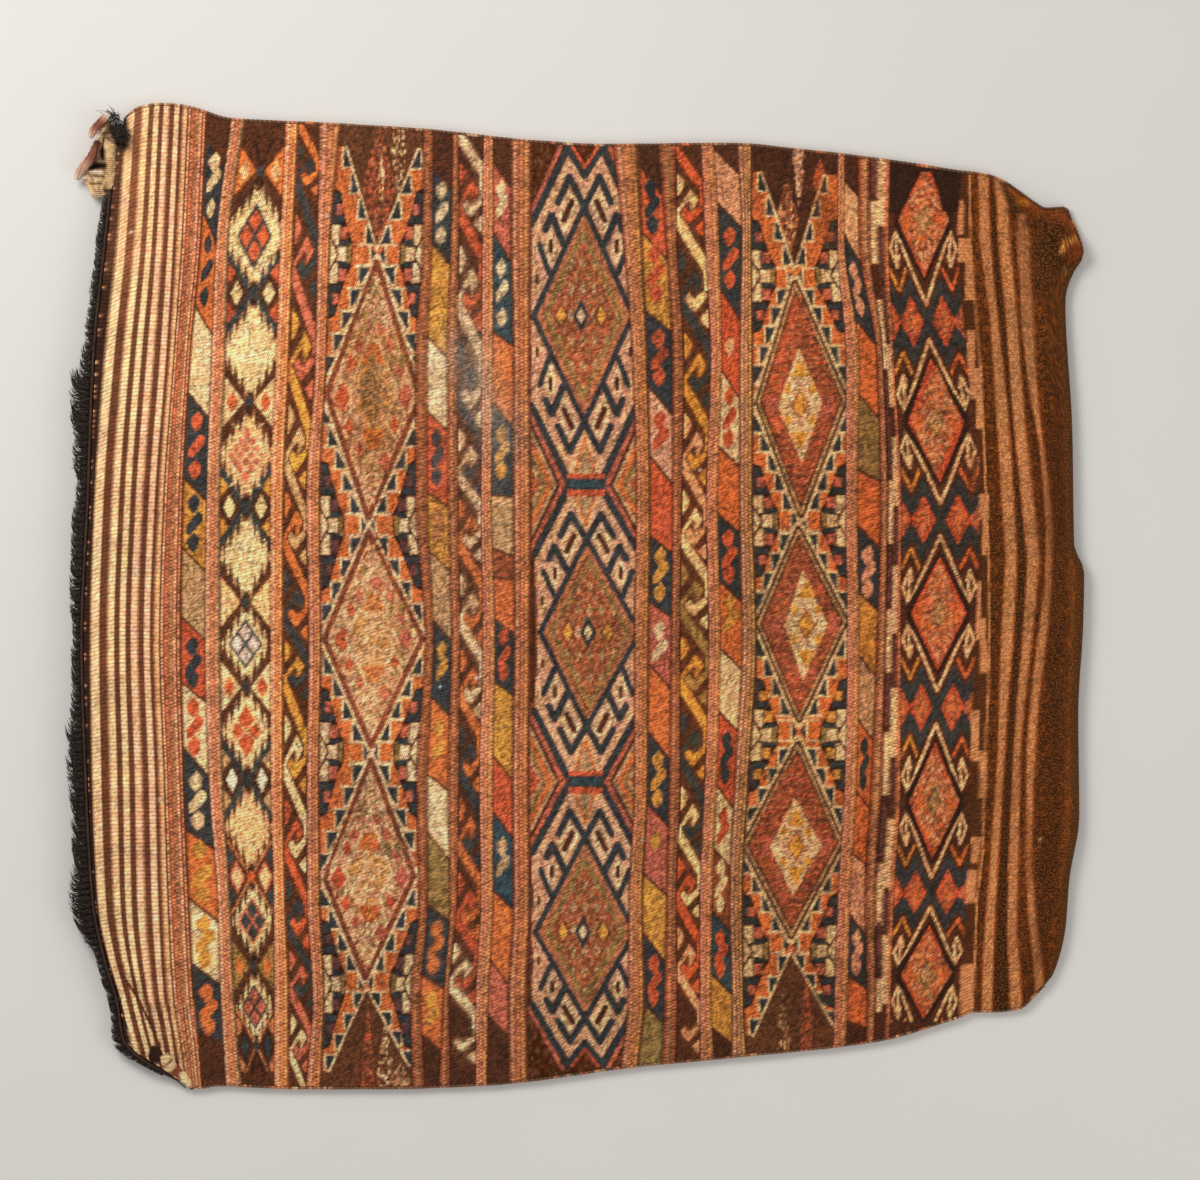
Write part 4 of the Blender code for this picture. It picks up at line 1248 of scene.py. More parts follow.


# Marks that aren't part of the weave: wear, dust, knots and the colours of folds, darker ground along the
# right edge, painted shadow in the upper corner's folds and hollow and a painted highlight on the ear's ring:
# start, end, half width, colour, share
TOUCHES = (
    ((130, 120), (125, 260), 30, (190, 130, 90), 0.25), ((372, 345), (372, 440), 30, (136, 80, 36), 0.46),
    ((375, 600), (375, 680), 24, (244, 160, 102), 0.35), ((470, 300), (470, 620), 34, (150, 105, 75), 0.18),
    ((974, 460), (974, 494), 5, (110, 66, 38), 0.6), ((1028, 820), (1028, 890), 5, (110, 66, 36), 0.4),
    # The second mark on the next line is painted shadow in the upper corner's hollow.
    ((1054, 420), (1057, 900), 8, (58, 22, 5), 0.5), ((1040, 250), (1042, 280), 14, (40, 20, 8), 0.6),
    # The second mark on the next line is painted shadow along the upper corner's fold.
    ((462, 352), (505, 440), 26, (150, 138, 124), 0.40), ((1003, 181), (1016, 212), 4.0, (30, 16, 8), 0.9),
    ((1009, 188), (1018, 198), 3.5, (150, 78, 36), 0.8),
    ((1022, 202), (1029, 203), 4.5, (206, 138, 46), 0.95),
    # The second mark on the next line is painted shadow below the upper corner's ridge.
    ((1034, 209), (1058, 211), 8, (128, 64, 30), 0.85), ((1030, 222), (1050, 226), 8, (64, 34, 18), 0.8),
    # The second mark on the next line is painted shadow beside the ear.
    ((1067, 217), (1075, 228), 6, (150, 76, 38), 0.9), ((1052, 236), (1058, 264), 10, (30, 15, 8), 0.9),
    # The second mark on the next line and the mark after it are the painted highlight on the ear's ring.
    ((1077, 246), (1079, 254), 8, (146, 70, 38), 0.9), ((1061, 252), (1066, 242), 2.8, (246, 180, 130), 1.0),
    ((1066, 242), (1079, 237), 2.8, (246, 180, 130), 1.0),
    ((1086, 236), (1090, 246), 1.8, (150, 112, 78), 0.8),
    ((1090, 248), (1074, 272), 1.8, (140, 100, 70), 0.8), ((1068, 280), (1063, 300), 3, (136, 80, 44), 0.6),
    ((1064, 268), (1067, 278), 1.6, (190, 180, 170), 0.6), ((1066, 300), (1074, 600), 6, (150, 92, 48), 0.55),
    ((121, 113), (124, 146), 6, (24, 16, 13), 0.95), ((818, 185), (830, 240), 10, (120, 60, 28), 0.45),
    ((1052, 830), (1040, 960), 9, (44, 18, 5), 0.4), ((1074, 600), (1066, 900), 6, (150, 92, 48), 0.55),
)
LINT = ((440, 687), (643, 840), (160, 800), (476, 678), (1040, 839), (131, 232), (327, 216), (700, 470))
# Bands that have faded or darkened as a whole: lines at both sides and the change of red, green and blue
FADED = (
    (84, 204, (1.07, 1.06, 1.04)), (221, 308, (1.16, 1.15, 1.08)), (434, 513, (1.05, 1.07, 1.08)),
    (513, 531, (0.95, 0.93, 0.90)), (634, 650, (0.91, 0.91, 0.83)), (680, 708, (1.15, 1.08, 0.94)),
    (720, 846, (0.98, 0.94, 0.87)), (860, 901, (1.00, 0.92, 0.86)), (901, 976, (1.10, 0.99, 0.90)),
    (976, 1200, (1.06, 0.95, 0.68)), (741.5, 757.5, (0.89, 0.99, 1.01)),
)
# Bands whose stitches have worn into one another: lines at both sides and how much
WORN = ((221, 270, 0.16), (434, 451, 0.34), (460, 482.5, 0.50), (284, 308.5, 0.10), (680, 708.5, 0.32),
        (495.5, 513.5, 0.16))
# How uneven the dye is from cell to cell and from stitch to stitch: plain, narrow border, brocade
GRAIN = (0.38, 0.56, 0.38)
STITCH = (0.12, 0.30, 0.50)
# Where the weave is that of the narrow borders, unless it is brocaded
BORDERED = ((159, 182), (204, 976))
# Where the weave of the plain end begins
END_LINE = 1001


def worn(colour, s):
    """The colours with the stitches of the most worn bands blended into one another."""
    soft = colour
    for axis in (0, 1):
        soft = sum(np.roll(soft, step, axis) for step in (-2, -1, 0, 1, 2)) / 5
    share = np.zeros(len(s))
    for left, right, part in WORN:
        share[(s > left + 2) & (s < right - 2)] = part
    return colour + (soft - colour) * share[:, None, None]


def touched(colour, x, y):
    """The colours with the marks of wear, the painted shadows and the painted highlight on them."""
    for start, end, half, dye, share in TOUCHES:
        mask = share * ridge(x, y, start, end, half)[:, :, None]
        colour = colour * (1 - mask) + np.array(dye) / 255 * mask
    for place in LINT:
        mask = 0.9 * bump(x, y, place, 1.7)[:, :, None]
        colour = colour * (1 - mask) + 0.86 * mask
    return colour


def woven_kind(s):
    """0 where the front is plain, 1 in the narrow borders and 2 where it is brocaded."""
    kind = np.zeros(len(s), int)
    for k, places in ((1, BORDERED), (2, PROUD)):
        for left, right in places:
            kind[(s > left) & (s < right)] = k
    return kind


def unevenness(s, x, y):
    """How bright the dye is at each point, around 1, with painted shade that darkens it towards the right."""
    kind = woven_kind(s)
    across = s[:, None] + 0 * y
    slant = hashed(np.floor((across + 0.7 * y) / 2.6), np.floor((y - 0.4 * across) / 3.6), 3)
    grain = hashed(np.floor(across / 1.6), np.floor(y / 1.5), 5)
    level = 1.0 + np.array(GRAIN)[kind][:, None] * (grain - 0.5)
    level = level + 0.16 * (soft_noise(x / 23, y / 17, 7) - 0.5)
    level = level + 0.12 * (soft_noise(x / 110, y / 90, 9) - 0.5)
    stitch = np.where(s > END_LINE, 0.30, np.array(STITCH)[kind])
    level = level + stitch[:, None] * (slant - 0.5)
    # Painted shade: darker towards the right, where the light falls off.
    return level * (1.03 - 0.13 * np.clip((x - 780) / 300, 0, 1) ** 1.5)


def point_colours(cloth, s, v):
    """sRGB at every crossing of s and v, as the mean of the small cells around it, with the dye's own
    unevenness, the marks of wear, and painted shade and highlights. The alpha is 1 where it is brocaded, a
    half in the narrow borders and 0 where plain."""
    table = np.array(list(DYES.values()), float) / 255
    padded = np.pad(table[cloth.dye], ((1, 1), (1, 1), (0, 0)), mode="edge")
    colour = (padded[:-1:2, :-1:2] + padded[1::2, :-1:2] + padded[:-1:2, 1::2] + padded[1::2, 1::2]) / 4
    x, y, _ = laid_out(s, v)
    out = touched(worn(colour, s), x, y) * unevenness(s, x, y)[:, :, None]
    for left, right, tint in FADED:
        inside = np.clip(np.minimum(s - left, right - s) / 4 + 0.5, 0, 1)[:, None, None]
        out *= 1 + (np.array(tint) - 1) * inside
    out[:, :, 0] *= 1 + 0.06 * (soft_noise(x / 60, y / 41, 11) - 0.5)
    out[:, :, 2] *= 1 + 0.10 * (soft_noise(x / 9, y / 7, 13) - 0.5)
    alpha = np.broadcast_to(woven_kind(s)[:, None, None] / 2, out[:, :, :1].shape)
    return np.concatenate([np.clip(out, 0, 1), alpha], axis=2)


class Level:
    """A number in a material's nodes. Sums with it add further nodes."""

    def __init__(self, finish, socket):
        self.finish = finish
        self.socket = socket

    def __add__(self, other):
        return self.finish.math("ADD", self, other)

    def __sub__(self, other):
        return self.finish.math("SUBTRACT", self, other)

    def __rsub__(self, other):
        return self.finish.math("SUBTRACT", other, self)

    def __mul__(self, other):
        return self.finish.math("MULTIPLY", self, other)

    def __truediv__(self, other):
        return self.finish.math("DIVIDE", self, other)

    def __abs__(self):
        return self.finish.math("ABSOLUTE", self)

    def clipped(self):
        """From 0 to 1."""
        return self.finish.math("MINIMUM", self.finish.math("MAXIMUM", self, 0.0), 1.0)


class Finish:
    """A material's nodes, built from its calculations outwards."""

    def __init__(self, name, roughness, sheen=0.0, specular=0.2):
        self.material = bpy.data.materials.new(name)
        self.material.use_nodes = True
        self.nodes = self.material.node_tree.nodes
        self.shader = self.nodes["Principled BSDF"]
        self.shader.inputs["Roughness"].default_value = roughness
        self.shader.inputs["Sheen Weight"].default_value = sheen
        self.shader.inputs["Sheen Roughness"].default_value = 0.5
        self.shader.inputs["Specular IOR Level"].default_value = specular

    def put(self, socket, value):
        """A number, a colour or what another node gives."""
        if isinstance(value, Level):
            value = value.socket
        if isinstance(value, bpy.types.NodeSocket):
            self.material.node_tree.links.new(value, socket)
        else:
            socket.default_value = value

    def node(self, kind, inputs, **settings):
        """A node with its settings. inputs names its sockets, or numbers them, and says what goes in."""
        made = self.nodes.new(kind)
        for key, value in settings.items():
            setattr(made, key, value)
        for key, value in inputs.items():
            self.put(made.inputs[key], value)
        return made

    def math(self, operation, a, b=0.0):
        return Level(self, self.node("ShaderNodeMath", {0: a, 1: b}, operation=operation).outputs[0])

    def mix(self, share, a, b):
        """Number between a and b."""
        made = self.node("ShaderNodeMix", {"Factor": share, "A": a, "B": b}, data_type="FLOAT")
        return Level(self, made.outputs["Result"])

    def blend(self, share, a, b, how="MIX"):
        """Colour between a and b."""
        inputs = {0: share, 6: a, 7: b}
        return self.node("ShaderNodeMix", inputs, data_type="RGBA", blend_type=how).outputs[2]

    def shaded(self, colour, level):
        """The colour, made darker or brighter by the level."""
        grey = self.node("ShaderNodeCombineColor", {0: level, 1: level, 2: level})
        return self.blend(1.0, colour, grey.outputs[0], "MULTIPLY")

    def noise(self, vector, scale, detail=3.0, roughness=0.6):
        inputs = {"Vector": vector, "Scale": scale, "Detail": detail, "Roughness": roughness}
        return Level(self, self.node("ShaderNodeTexNoise", inputs).outputs["Fac"])

    def wave(self, value, power):
        """From 0 in the hollows to 1 on the crests, once per unit of value."""
        return self.math("POWER", abs(self.math("SINE", value * math.pi)), power)

    def patches(self, vector, scale):
        """1 in small soft patches and 0 between them."""
        return ((self.noise(vector, scale, 1.0) - 0.5) * 11.0).clipped()

    def weave_places(self):
        """The place in the weave as a vector, and its pixels across and along."""
        uv = self.node("ShaderNodeUVMap", {}, uv_map="Weave").outputs["UV"]
        parts = self.node("ShaderNodeSeparateXYZ", {0: uv})
        return uv, Level(self, parts.outputs[0]), Level(self, parts.outputs[1])

    def dye(self):
        """The colour painted on the points, and how they are woven."""
        made = self.node("ShaderNodeAttribute", {}, attribute_name="Dye")
        return made.outputs["Color"], Level(self, made.outputs["Alpha"])

    def done(self, colour, height=None, strength=0.6, distance=0.0006, roughness=None):
        """The material with its colour, its relief and its roughness."""
        self.put(self.shader.inputs["Base Color"], colour)
        if roughness is not None:
            self.put(self.shader.inputs["Roughness"], roughness)
        if height is not None:
            inputs = {"Strength": strength, "Distance": distance, "Height": height}
            self.put(self.shader.inputs["Normal"], self.node("ShaderNodeBump", inputs).outputs["Normal"])
        return self.material


# Pixels between the ribs, between the wefts, between the rungs, and a rung's width
RIB = 3.9
WEFT = 1.35
RUNG = 3.5
RUNG_WIDE = 4.2
# Where the plain end at the bottom fold begins
PLAIN_END = 975.0


def stitched(finish, across, along, wobble, ribs):
    """Height of the front's weave and how dark the painted shade in its hollows is: ribs, rungs or slanted
    stitches.
    """
    kind = finish.dye()[1]
    side = across / RUNG_WIDE
    rung = (along + wobble) / RUNG + finish.math("FLOOR", side) * 0.5
    rungs = finish.wave(rung, 0.8) * finish.mix(finish.wave(side, 0.5), 0.35, 1.0)
    lean = finish.wave((across + along * 0.55) / 2.3, 0.7)
    stitches = lean * finish.wave((along - across * 0.3) / 3.3, 0.5)
    bordered = 1.0 - abs(kind * 2.0 - 1.0)
    brocaded = finish.math("MAXIMUM", kind * 2.0 - 1.0, 0.0)
    height = finish.mix(brocaded, finish.mix(bordered, ribs, rungs), stitches)
    return height, finish.mix(bordered, finish.mix(brocaded, 0.58, 0.70), 0.50)


def wool_finish(name, plain=None):
    """Weft-faced wool: ribs over the warps in the plain stripes, rungs in the narrow borders and slanted
    stitches where it is brocaded. A plain cloth takes its colour from the function plain."""
    finish = Finish(name, 0.93, 0.03, 0.08)
    uv, across, along = finish.weave_places()
    wobble = (finish.noise(uv, 0.045, 2.0) - 0.5) * 3.0
    rib = (along + wobble) / RIB
    weft = across / WEFT + finish.math("FLOOR", rib) * 0.5
    ribs = finish.wave(rib, 0.7) * finish.mix(finish.wave(weft, 0.8), 0.62, 1.0)
    if plain is None:
        colour = finish.dye()[0]
        height, low = stitched(finish, across, along, wobble, ribs)
    else:
        colour = plain(finish, uv, across)
        height, low = ribs, 0.58
    fine = finish.noise(uv, 0.9, 2.0, 0.7)
    end = ((across - PLAIN_END) * 0.05).clipped()
    height = finish.mix(end * 0.6, height, finish.noise(uv, 0.5, 1.0) * 1.2) + fine * 0.5
    colour = finish.blend(end * finish.patches(uv, 0.46) * 0.42, colour, (0.36, 0.12, 0.020, 1))
    colour = finish.blend(end * finish.patches(uv, 0.80) * 0.62, colour, (0.035, 0.011, 0.003, 1))
    colour = finish.blend(finish.noise(uv, 0.02, 5.0, 0.7) * 0.10, colour, (0.19, 0.115, 0.055, 1))
    # Painted shade and highlight: the colour is darkened in the weave's hollows and brightened on its crests.
    level = finish.mix(height, low, 1.24) * finish.mix(fine, 0.84, 1.20)
    return finish.done(finish.shaded(colour, level), height, 0.75, 0.0011, finish.mix(fine, 0.84, 1.0))


# The back's quiet stripes: where each begins and ends, as shares of the way across
BACK_STRIPES = ((0.09, 0.098), (0.112, 0.12), (0.47, 0.475), (0.49, 0.50), (0.515, 0.52), (0.885, 0.893),
                (0.91, 0.92), (0.935, 0.945))


def back_stripes(finish, uv, across):
    """The plain back: natural brown with a few quiet tan stripes."""
    brown = (0.050, 0.013, 0.003, 1)
    tan = (0.40, 0.20, 0.10, 1)
    ramp = finish.node("ShaderNodeValToRGB", {0: across / 1100.0})
    ramp.color_ramp.interpolation = "CONSTANT"
    items = ramp.color_ramp.elements
    items.remove(items[1])
    items[0].color = brown
    for first, last in BACK_STRIPES:
        items.new(first).color = tan
        items.new(last).color = brown
    return finish.blend(finish.noise(uv, 0.03, 4.0), ramp.outputs[0], (0.105, 0.038, 0.010, 1))


def yarn_finish(name, dark, light, scale, roughness, specular, strength):
    """Spun yarn or hair whose colour runs between dark and light."""
    finish = Finish(name, roughness, 0.0, specular)
    place = finish.node("ShaderNodeTexCoord", {}).outputs["Object"]
    fine = finish.noise(place, scale * 9, 2.0, 0.7)
    colour = finish.blend(finish.noise(place, scale, 3.0, 0.65), (*dark, 1), (*light, 1))
    shaded = finish.shaded(colour, finish.mix(fine, 0.7, 1.25))
    return finish.done(shaded, fine, strength, 0.0008, finish.mix(fine, roughness - 0.08, roughness + 0.06))


def seam_finish():
    """Overcast yarn in the colours of the bands that it closes, with painted shade in the hollows between the
    wraps.
    """
    finish = Finish("overcast_yarn", 0.92, 0.1)
    uv, across, along = finish.weave_places()
    wrap = finish.wave(across / 4.6 + along, 0.8)
    fine = finish.noise(uv, 1.1, 2.0, 0.7)
    share = finish.mix(finish.noise(uv, 0.05), 0.10, 0.50)
    dull = finish.blend(share, finish.dye()[0], (0.34, 0.18, 0.10, 1))
    # Painted shade between the wraps and painted highlight on them.
    level = finish.mix(wrap, 0.62, 1.25) * finish.mix(fine, 0.75, 1.2)
    return finish.done(finish.shaded(dull, level), wrap, 0.7, 0.0009)


def tubes(paths, radius, sides, flat=1.0, twist=0.0):
    """Vertices and faces of many cords at once. paths is cords by points by 3."""
    paths = np.asarray(paths, float)
    count, points = paths.shape[:2]
    radius = np.broadcast_to(radius, (count, points))
    ahead = np.gradient(paths, axis=1)
    ahead /= np.maximum(np.linalg.norm(ahead, axis=2), 1e-12)[:, :, None]
    side = np.cross(ahead, (0.0, 0.0, 1.0))
    side /= np.maximum(np.linalg.norm(side, axis=2), 1e-12)[:, :, None]
    up = np.cross(side, ahead)
    turn = 2 * math.pi * np.arange(sides) / sides
    turn = turn[None, None, :] + (twist * np.arange(points))[None, :, None] + 0 * radius[:, :, None]
    outward = np.cos(turn)[..., None] * side[:, :, None, :]
    outward = outward + flat * np.sin(turn)[..., None] * up[:, :, None, :]
    vertices = paths[:, :, None, :] + radius[:, :, None, None] * outward
    start = (np.arange(count) * points * sides)[:, None, None]
    ring = (np.arange(points - 1) * sides)[None, :, None]
    k = np.arange(sides)[None, None, :]
    after = (k + 1) % sides
    near = start + ring
    far = near + sides
    faces = np.stack([near + k, near + after, far + after, far + k], axis=-1).reshape(-1, 4)
    ends = []
    for cord in range(count):
        base = cord * points * sides
        ends.append(tuple(base + sides - 1 - n for n in range(sides)))
        ends.append(tuple(base + (points - 1) * sides + n for n in range(sides)))
    return vertices.reshape(-1, 3), [tuple(f) for f in faces.tolist()] + ends


def tube_mesh(name, vertices, faces):
    """A mesh of cords from tubes."""
    mesh = bpy.data.meshes.new(name)
    mesh.from_pydata([tuple(p) for p in vertices], [], faces)
    return mesh


def dyed_tube(name, vertices, faces, colours, along, around):
    """One tube with its colours. The weave goes on by along at each ring and once in so many sides."""
    mesh = tube_mesh(name, vertices, faces)
    add_dyes(mesh, colours)
    corner = np.array([loop.vertex_index for loop in mesh.loops])
    sides = colours.shape[1]
    add_places(mesh, "Weave", np.stack([corner // sides * along, corner % sides / around], axis=1))
    return mesh


def along_path(path, pitch):
    """The path with points every pitch along it."""
    path = np.asarray(path, float)
    far = np.concatenate([[0], np.cumsum(np.linalg.norm(np.diff(path[:, :3], axis=0), axis=1))])
    at = np.linspace(0, far[-1], max(2, int(far[-1] / pitch)))
    return np.stack([np.interp(at, far, path[:, k]) for k in range(path.shape[1])], axis=1)


def leftward(path):
    """Level directions square to the path, to its left."""
    ahead = np.gradient(path[:, :2], axis=0)
    ahead /= np.maximum(np.linalg.norm(ahead, axis=1), 1e-12)[:, None]
    return np.column_stack([-ahead[:, 1], ahead[:, 0], np.zeros(len(path))])


# The flap's outline in the picture: y, x at its left and at its right
FLAP = ((119, 101, 109), (129, 99, 115), (137, 97.5, 117.5), (147, 95.5, 118.5), (158, 91, 118.5),
        (169, 86, 118), (179, 84, 116), (188, 88, 112), (194, 91, 106), (199, 94, 97))
# Folds, slots and worn places of the flap, with painted shade where they sink and painted highlights where
# they rise: start, end, half width, rise in metres, colour, share
FLAP_FOLDS = (
    ((100, 129), (114, 126), 2.6, 0.0022, (196, 172, 138), 0.5),
    ((103, 134), (115, 132), 1.8, -0.002, (66, 50, 40), 0.8),
    ((100, 138), (106, 150), 2.2, 0.002, (228, 196, 152), 0.6),
    ((106, 137), (112, 141), 1.5, -0.0012, (92, 74, 58), 0.7),
    ((112, 128), (119, 146), 3.2, -0.002, (26, 20, 18), 0.9),
    ((92, 143), (96, 158), 3.0, -0.0008, (84, 40, 32), 0.85),
    ((102, 151), (103, 159), 2.5, -0.003, (34, 30, 24), 0.97),
    ((97, 155), (98, 163), 1.6, 0.001, (216, 196, 160), 0.5),
    ((90, 163), (104, 167), 3.2, -0.003, (30, 18, 14), 0.95),
    ((90, 168), (105, 165), 2.1, -0.003, (28, 18, 15), 0.97),
    ((90, 172), (102, 172.5), 1.5, 0.0014, (238, 226, 206), 0.9),
    ((92, 176), (104, 176.5), 1.1, -0.0014, (70, 50, 40), 0.85),
    ((86, 177), (97, 179), 1.9, 0.001, (232, 214, 186), 0.7),
    ((89, 174), (93, 180), 1.2, 0.0, (158, 84, 64), 0.6),
    ((91, 183.5), (101, 183.5), 1.1, -0.001, (76, 56, 44), 0.8),
    ((92, 192), (99, 197), 2.2, 0.0004, (210, 198, 160), 0.5),
    ((106, 191), (114, 192), 2.4, -0.002, (30, 20, 16), 0.9),
    ((117, 150), (117.5, 184), 1.6, -0.0015, (70, 36, 26), 0.8),
    ((104, 138), (102, 150), 1.2, -0.002, (60, 40, 30), 0.8),
    ((110, 150), (111, 186), 3.0, 0.0012, (240, 198, 148), 0.5),
    ((97, 139), (104, 130), 1.7, 0.002, (232, 204, 166), 0.7),
    ((108, 160), (112, 180), 3.6, 0.0016, (226, 180, 126), 0.4),
    ((84, 172), (88, 168), 1.6, 0.0006, (150, 96, 76), 0.7),
)
# Colours of the flap's cloth and of its rolled ends
FLAP_CREAM = (226, 184, 136)
WHITE = (236, 222, 204)
RED = (146, 86, 70)
PALE = (206, 160, 132)
DIM = (88, 44, 34)
# Path of each rolled end (x and y in the picture and height), its sizes and its colours along it
UPPER_END = (((111.5, 115, 0.0190), (105, 119, 0.0188), (96.5, 127, 0.0178), (89.5, 137, 0.0150)),
             (0.0034, 0.0048, 0.0048, 0.0044, 0.0044, 0.0044, 0.0030),
             (WHITE, WHITE, PALE, RED, RED, PALE, WHITE))
LOWER_END = (((98, 141, 0.0150), (93, 155, 0.0160), (84, 167, 0.0145), (76, 179, 0.0108)),
             (0.0030, 0.0046, 0.0050, 0.0048, 0.0050, 0.0048, 0.0032),
             (DIM, RED, RED, PALE, PALE, WHITE))
# Rings and sides of a rolled end
RINGS = 40
ROLL_SIDES = 18


def flap_height(y):
    """Height of the flap's middle, as in the solid that it dresses."""
    return 0.0128 - 0.0030 * np.clip((y - 119) / 79.0, 0, 1)


def flap_sheet(shift, material):
    """The torn flap as one layer of cloth, turned down a little all round its ragged edge."""
    table = np.array(FLAP)
    down = np.linspace(table[0, 0], table[-1, 0], 72)
    left = smooth(down, table[:, 0], table[:, 1]) + 0.7 * np.sin(down * 1.9) * np.sin(down / 3.1)
    right = smooth(down, table[:, 0], table[:, 2]) + 0.6 * np.sin(down * 1.3 + 1)
    share = np.linspace(0, 1, 46)
    x = left[None, :] + (right - left)[None, :] * share[:, None]
    y = down[None, :] + 0 * x
    rough = soft_noise(x / 1.9, y / 2.2, 21)
    z = flap_height(y) + 0.0012 * np.sin(x / 2.9 + y / 7.5) + 0.0009 * rough
    colour = np.array(FLAP_CREAM) / 255 * (0.74 + 0.50 * rough)[:, :, None]
    # Each fold paints its colour too: painted shade in the hollows and slots, painted highlights on the
    # ridges.
    for start, end, half, rise, dye, part in FLAP_FOLDS:
        mask = ridge(x, y, start, end, half)
        z = z + rise * mask
        mask = (part * mask)[:, :, None]
        colour = colour * (1 - mask) + np.array(dye) / 255 * mask
    dyes = np.concatenate([colour, np.zeros_like(colour[:, :, :1])], axis=2)
    dyes = np.pad(dyes, ((1, 1), (1, 1), (0, 0)), mode="edge")
    x, y, z = (np.pad(grid, 1, mode="edge") for grid in (x, y, z))
    rim = np.ones(z.shape)
    rim[1:-1, 1:-1] = 0
    points = to_world(x, y, z - 0.0014 * rim) - shift
    mesh = grid_mesh("flap_cloth", points, np.stack([x, y], axis=2) * 1.9, dyes)
    return piece("flap_cloth", mesh, material, "corner_flap")


def stretched(values, at):
    """The values, spread evenly from 0 to 1, at each place in at."""
    table = np.array(values, float).reshape(len(values), -1)
    marks = np.linspace(0, 1, len(values))
    return np.stack([np.interp(at, marks, column) for column in table.T], axis=1)


def rolled_end(name, node, path, sizes, dyes, shift, material):
    """A rolled strip of worn cloth. sizes and dyes run along the path."""
    along = np.linspace(0, 1, RINGS)
    marks = np.linspace(0, 1, len(path))
    path = np.array(path, float)
    points = to_world(*(smooth(along, marks, path[:, k]) for k in range(3))) - shift
    size = stretched(sizes, along)[:, 0] * (1 + 0.06 * np.sin(along * 41))
    vertices, faces = tubes(points[None], size[None], ROLL_SIDES, 0.62, 0.05)
    vertices = vertices.reshape(RINGS, ROLL_SIDES, 3)
    turn = 2 * math.pi * np.arange(ROLL_SIDES) / ROLL_SIDES
    groove = np.exp(-((turn - 1.9) / 0.30) ** 2) + 0.7 * np.exp(-((turn - 0.9) / 0.22) ** 2)
    vertices = vertices + (points[:, None, :] - vertices) * (0.22 * groove)[None, :, None]
    colour = stretched(np.array(dyes, float) / 255, along)
    # Painted shade: the colour is darkened in the roll's grooves.
    colour = colour[:, None, :] * (1 - 0.55 * groove)[None, :, None]
    colour = np.concatenate([colour, np.zeros((RINGS, ROLL_SIDES, 1))], axis=2)
    mesh = dyed_tube(name, vertices.reshape(-1, 3), faces, colour, 0.6, 1.0)
    return piece(name, mesh, material, node)


def corner_flap(shift):
    """The cream remnant at the mouth's upper corner, with its two rolled ends."""
    material = wool_finish("worn_cream_wool")
    upper = rolled_end("rolled_end_upper", "tie_end_upper", *UPPER_END, shift, material)
    lower = rolled_end("rolled_end_lower", "tie_end_lower", *LOWER_END, shift, material)
    flap = flap_sheet(shift, material)


def column_edges():
    """The lines of the weave between the columns of cells."""
    names = [float(name) for name, _ in weave_lines()]
    edges = [names[0]]
    for a, b in zip(names, names[1:]):
        parts = max(1, math.ceil((b - a) / ACROSS_CELL))
        edges += list(a + (b - a) * np.arange(1, parts + 1) / parts)
    return np.array(edges)


def halved(edges):
    """The edges, with one more in the middle of every cell."""
    return np.interp(np.arange(2 * len(edges) - 1) / 2, np.arange(len(edges)), edges)


class Cloth:
    """The front's cells: the line and the row of each, its place in the picture and its dye."""

    def __init__(self, s_edges, v_edges):
        self.s = (s_edges[1:] + s_edges[:-1]) / 2
        self.v = (v_edges[1:] + v_edges[:-1]) / 2
        self.x, self.y, _ = laid_out(self.s, self.v)
        self.dye = np.zeros(self.x.shape, np.int8)


def woven_grid(s, v):
    """The place in the weave of every crossing of the lines s with the rows v."""
    return np.stack(np.broadcast_arrays(s[:, None], v[None, :] * LONG), axis=2)


def web_front(shift):
    """The patterned front in strips. Their normals are those of the whole front, so that no edge shows."""
    s = column_edges()
    v = np.linspace(0, 1, ROWS + 1)
    cloth = Cloth(halved(s), halved(v))
    paint(cloth)
    points, radius = surface(s, v)
    points = points - shift
    normals = normals_of(points)
    weave = woven_grid(s, v)
    colours = point_colours(cloth, s, v)
    material = wool_finish("patterned_wool")
    for k, (left, right) in enumerate(zip(STRIP_ENDS, STRIP_ENDS[1:])):
        part = slice(int(np.argmin(np.abs(s - left))), int(np.argmin(np.abs(s - right))) + 1)
        name = "web_front_%d" % (k + 1)
        mesh = grid_mesh(name, points[part], weave[part], colours[part], True)
        made = piece(name, mesh, material, "woven_web")
        mesh.normals_split_custom_set_from_vertices(normals[part].reshape(-1, 3))
    return points, radius, colours


# Turns round the bottom fold, and which of the front's rows the back has
ARC = np.linspace(0, math.pi, 15)
EVERY = 8


def fold_arc(last, reach, rise, turns):
    """Rows of points round the bottom fold: how far each reaches out, and its height from rise."""
    rows = []
    for turn in turns:
        rows.append(np.column_stack([last[:, 0] + reach * math.sin(turn), last[:, 1], rise(math.cos(turn))]))
    return np.array(rows)


def web_outside(last, flat, s, v, radius, material):
    """From the bottom fold under to the back lip."""
    half = last[:, 2] / 2
    blunt = radius * (0.25 + 0.75 * np.clip(np.minimum(v, 1 - v) / 0.018, 0, 1) ** 0.6)
    arc = fold_arc(last, blunt, lambda cosine: half * (1 + cosine), ARC)
    rim = flat[-1:].copy()
    rim[:, :, 2] = CLOTH
    outer = np.concatenate([arc, flat[1:], rim])
    places = np.concatenate([FOLD_LINE + 26 * ARC / math.pi, s[1:], [LIP_LINE - 3]])
    mesh = grid_mesh("web_back", outer, woven_grid(places, v))
    return piece("web_back", mesh, material, "woven_web")


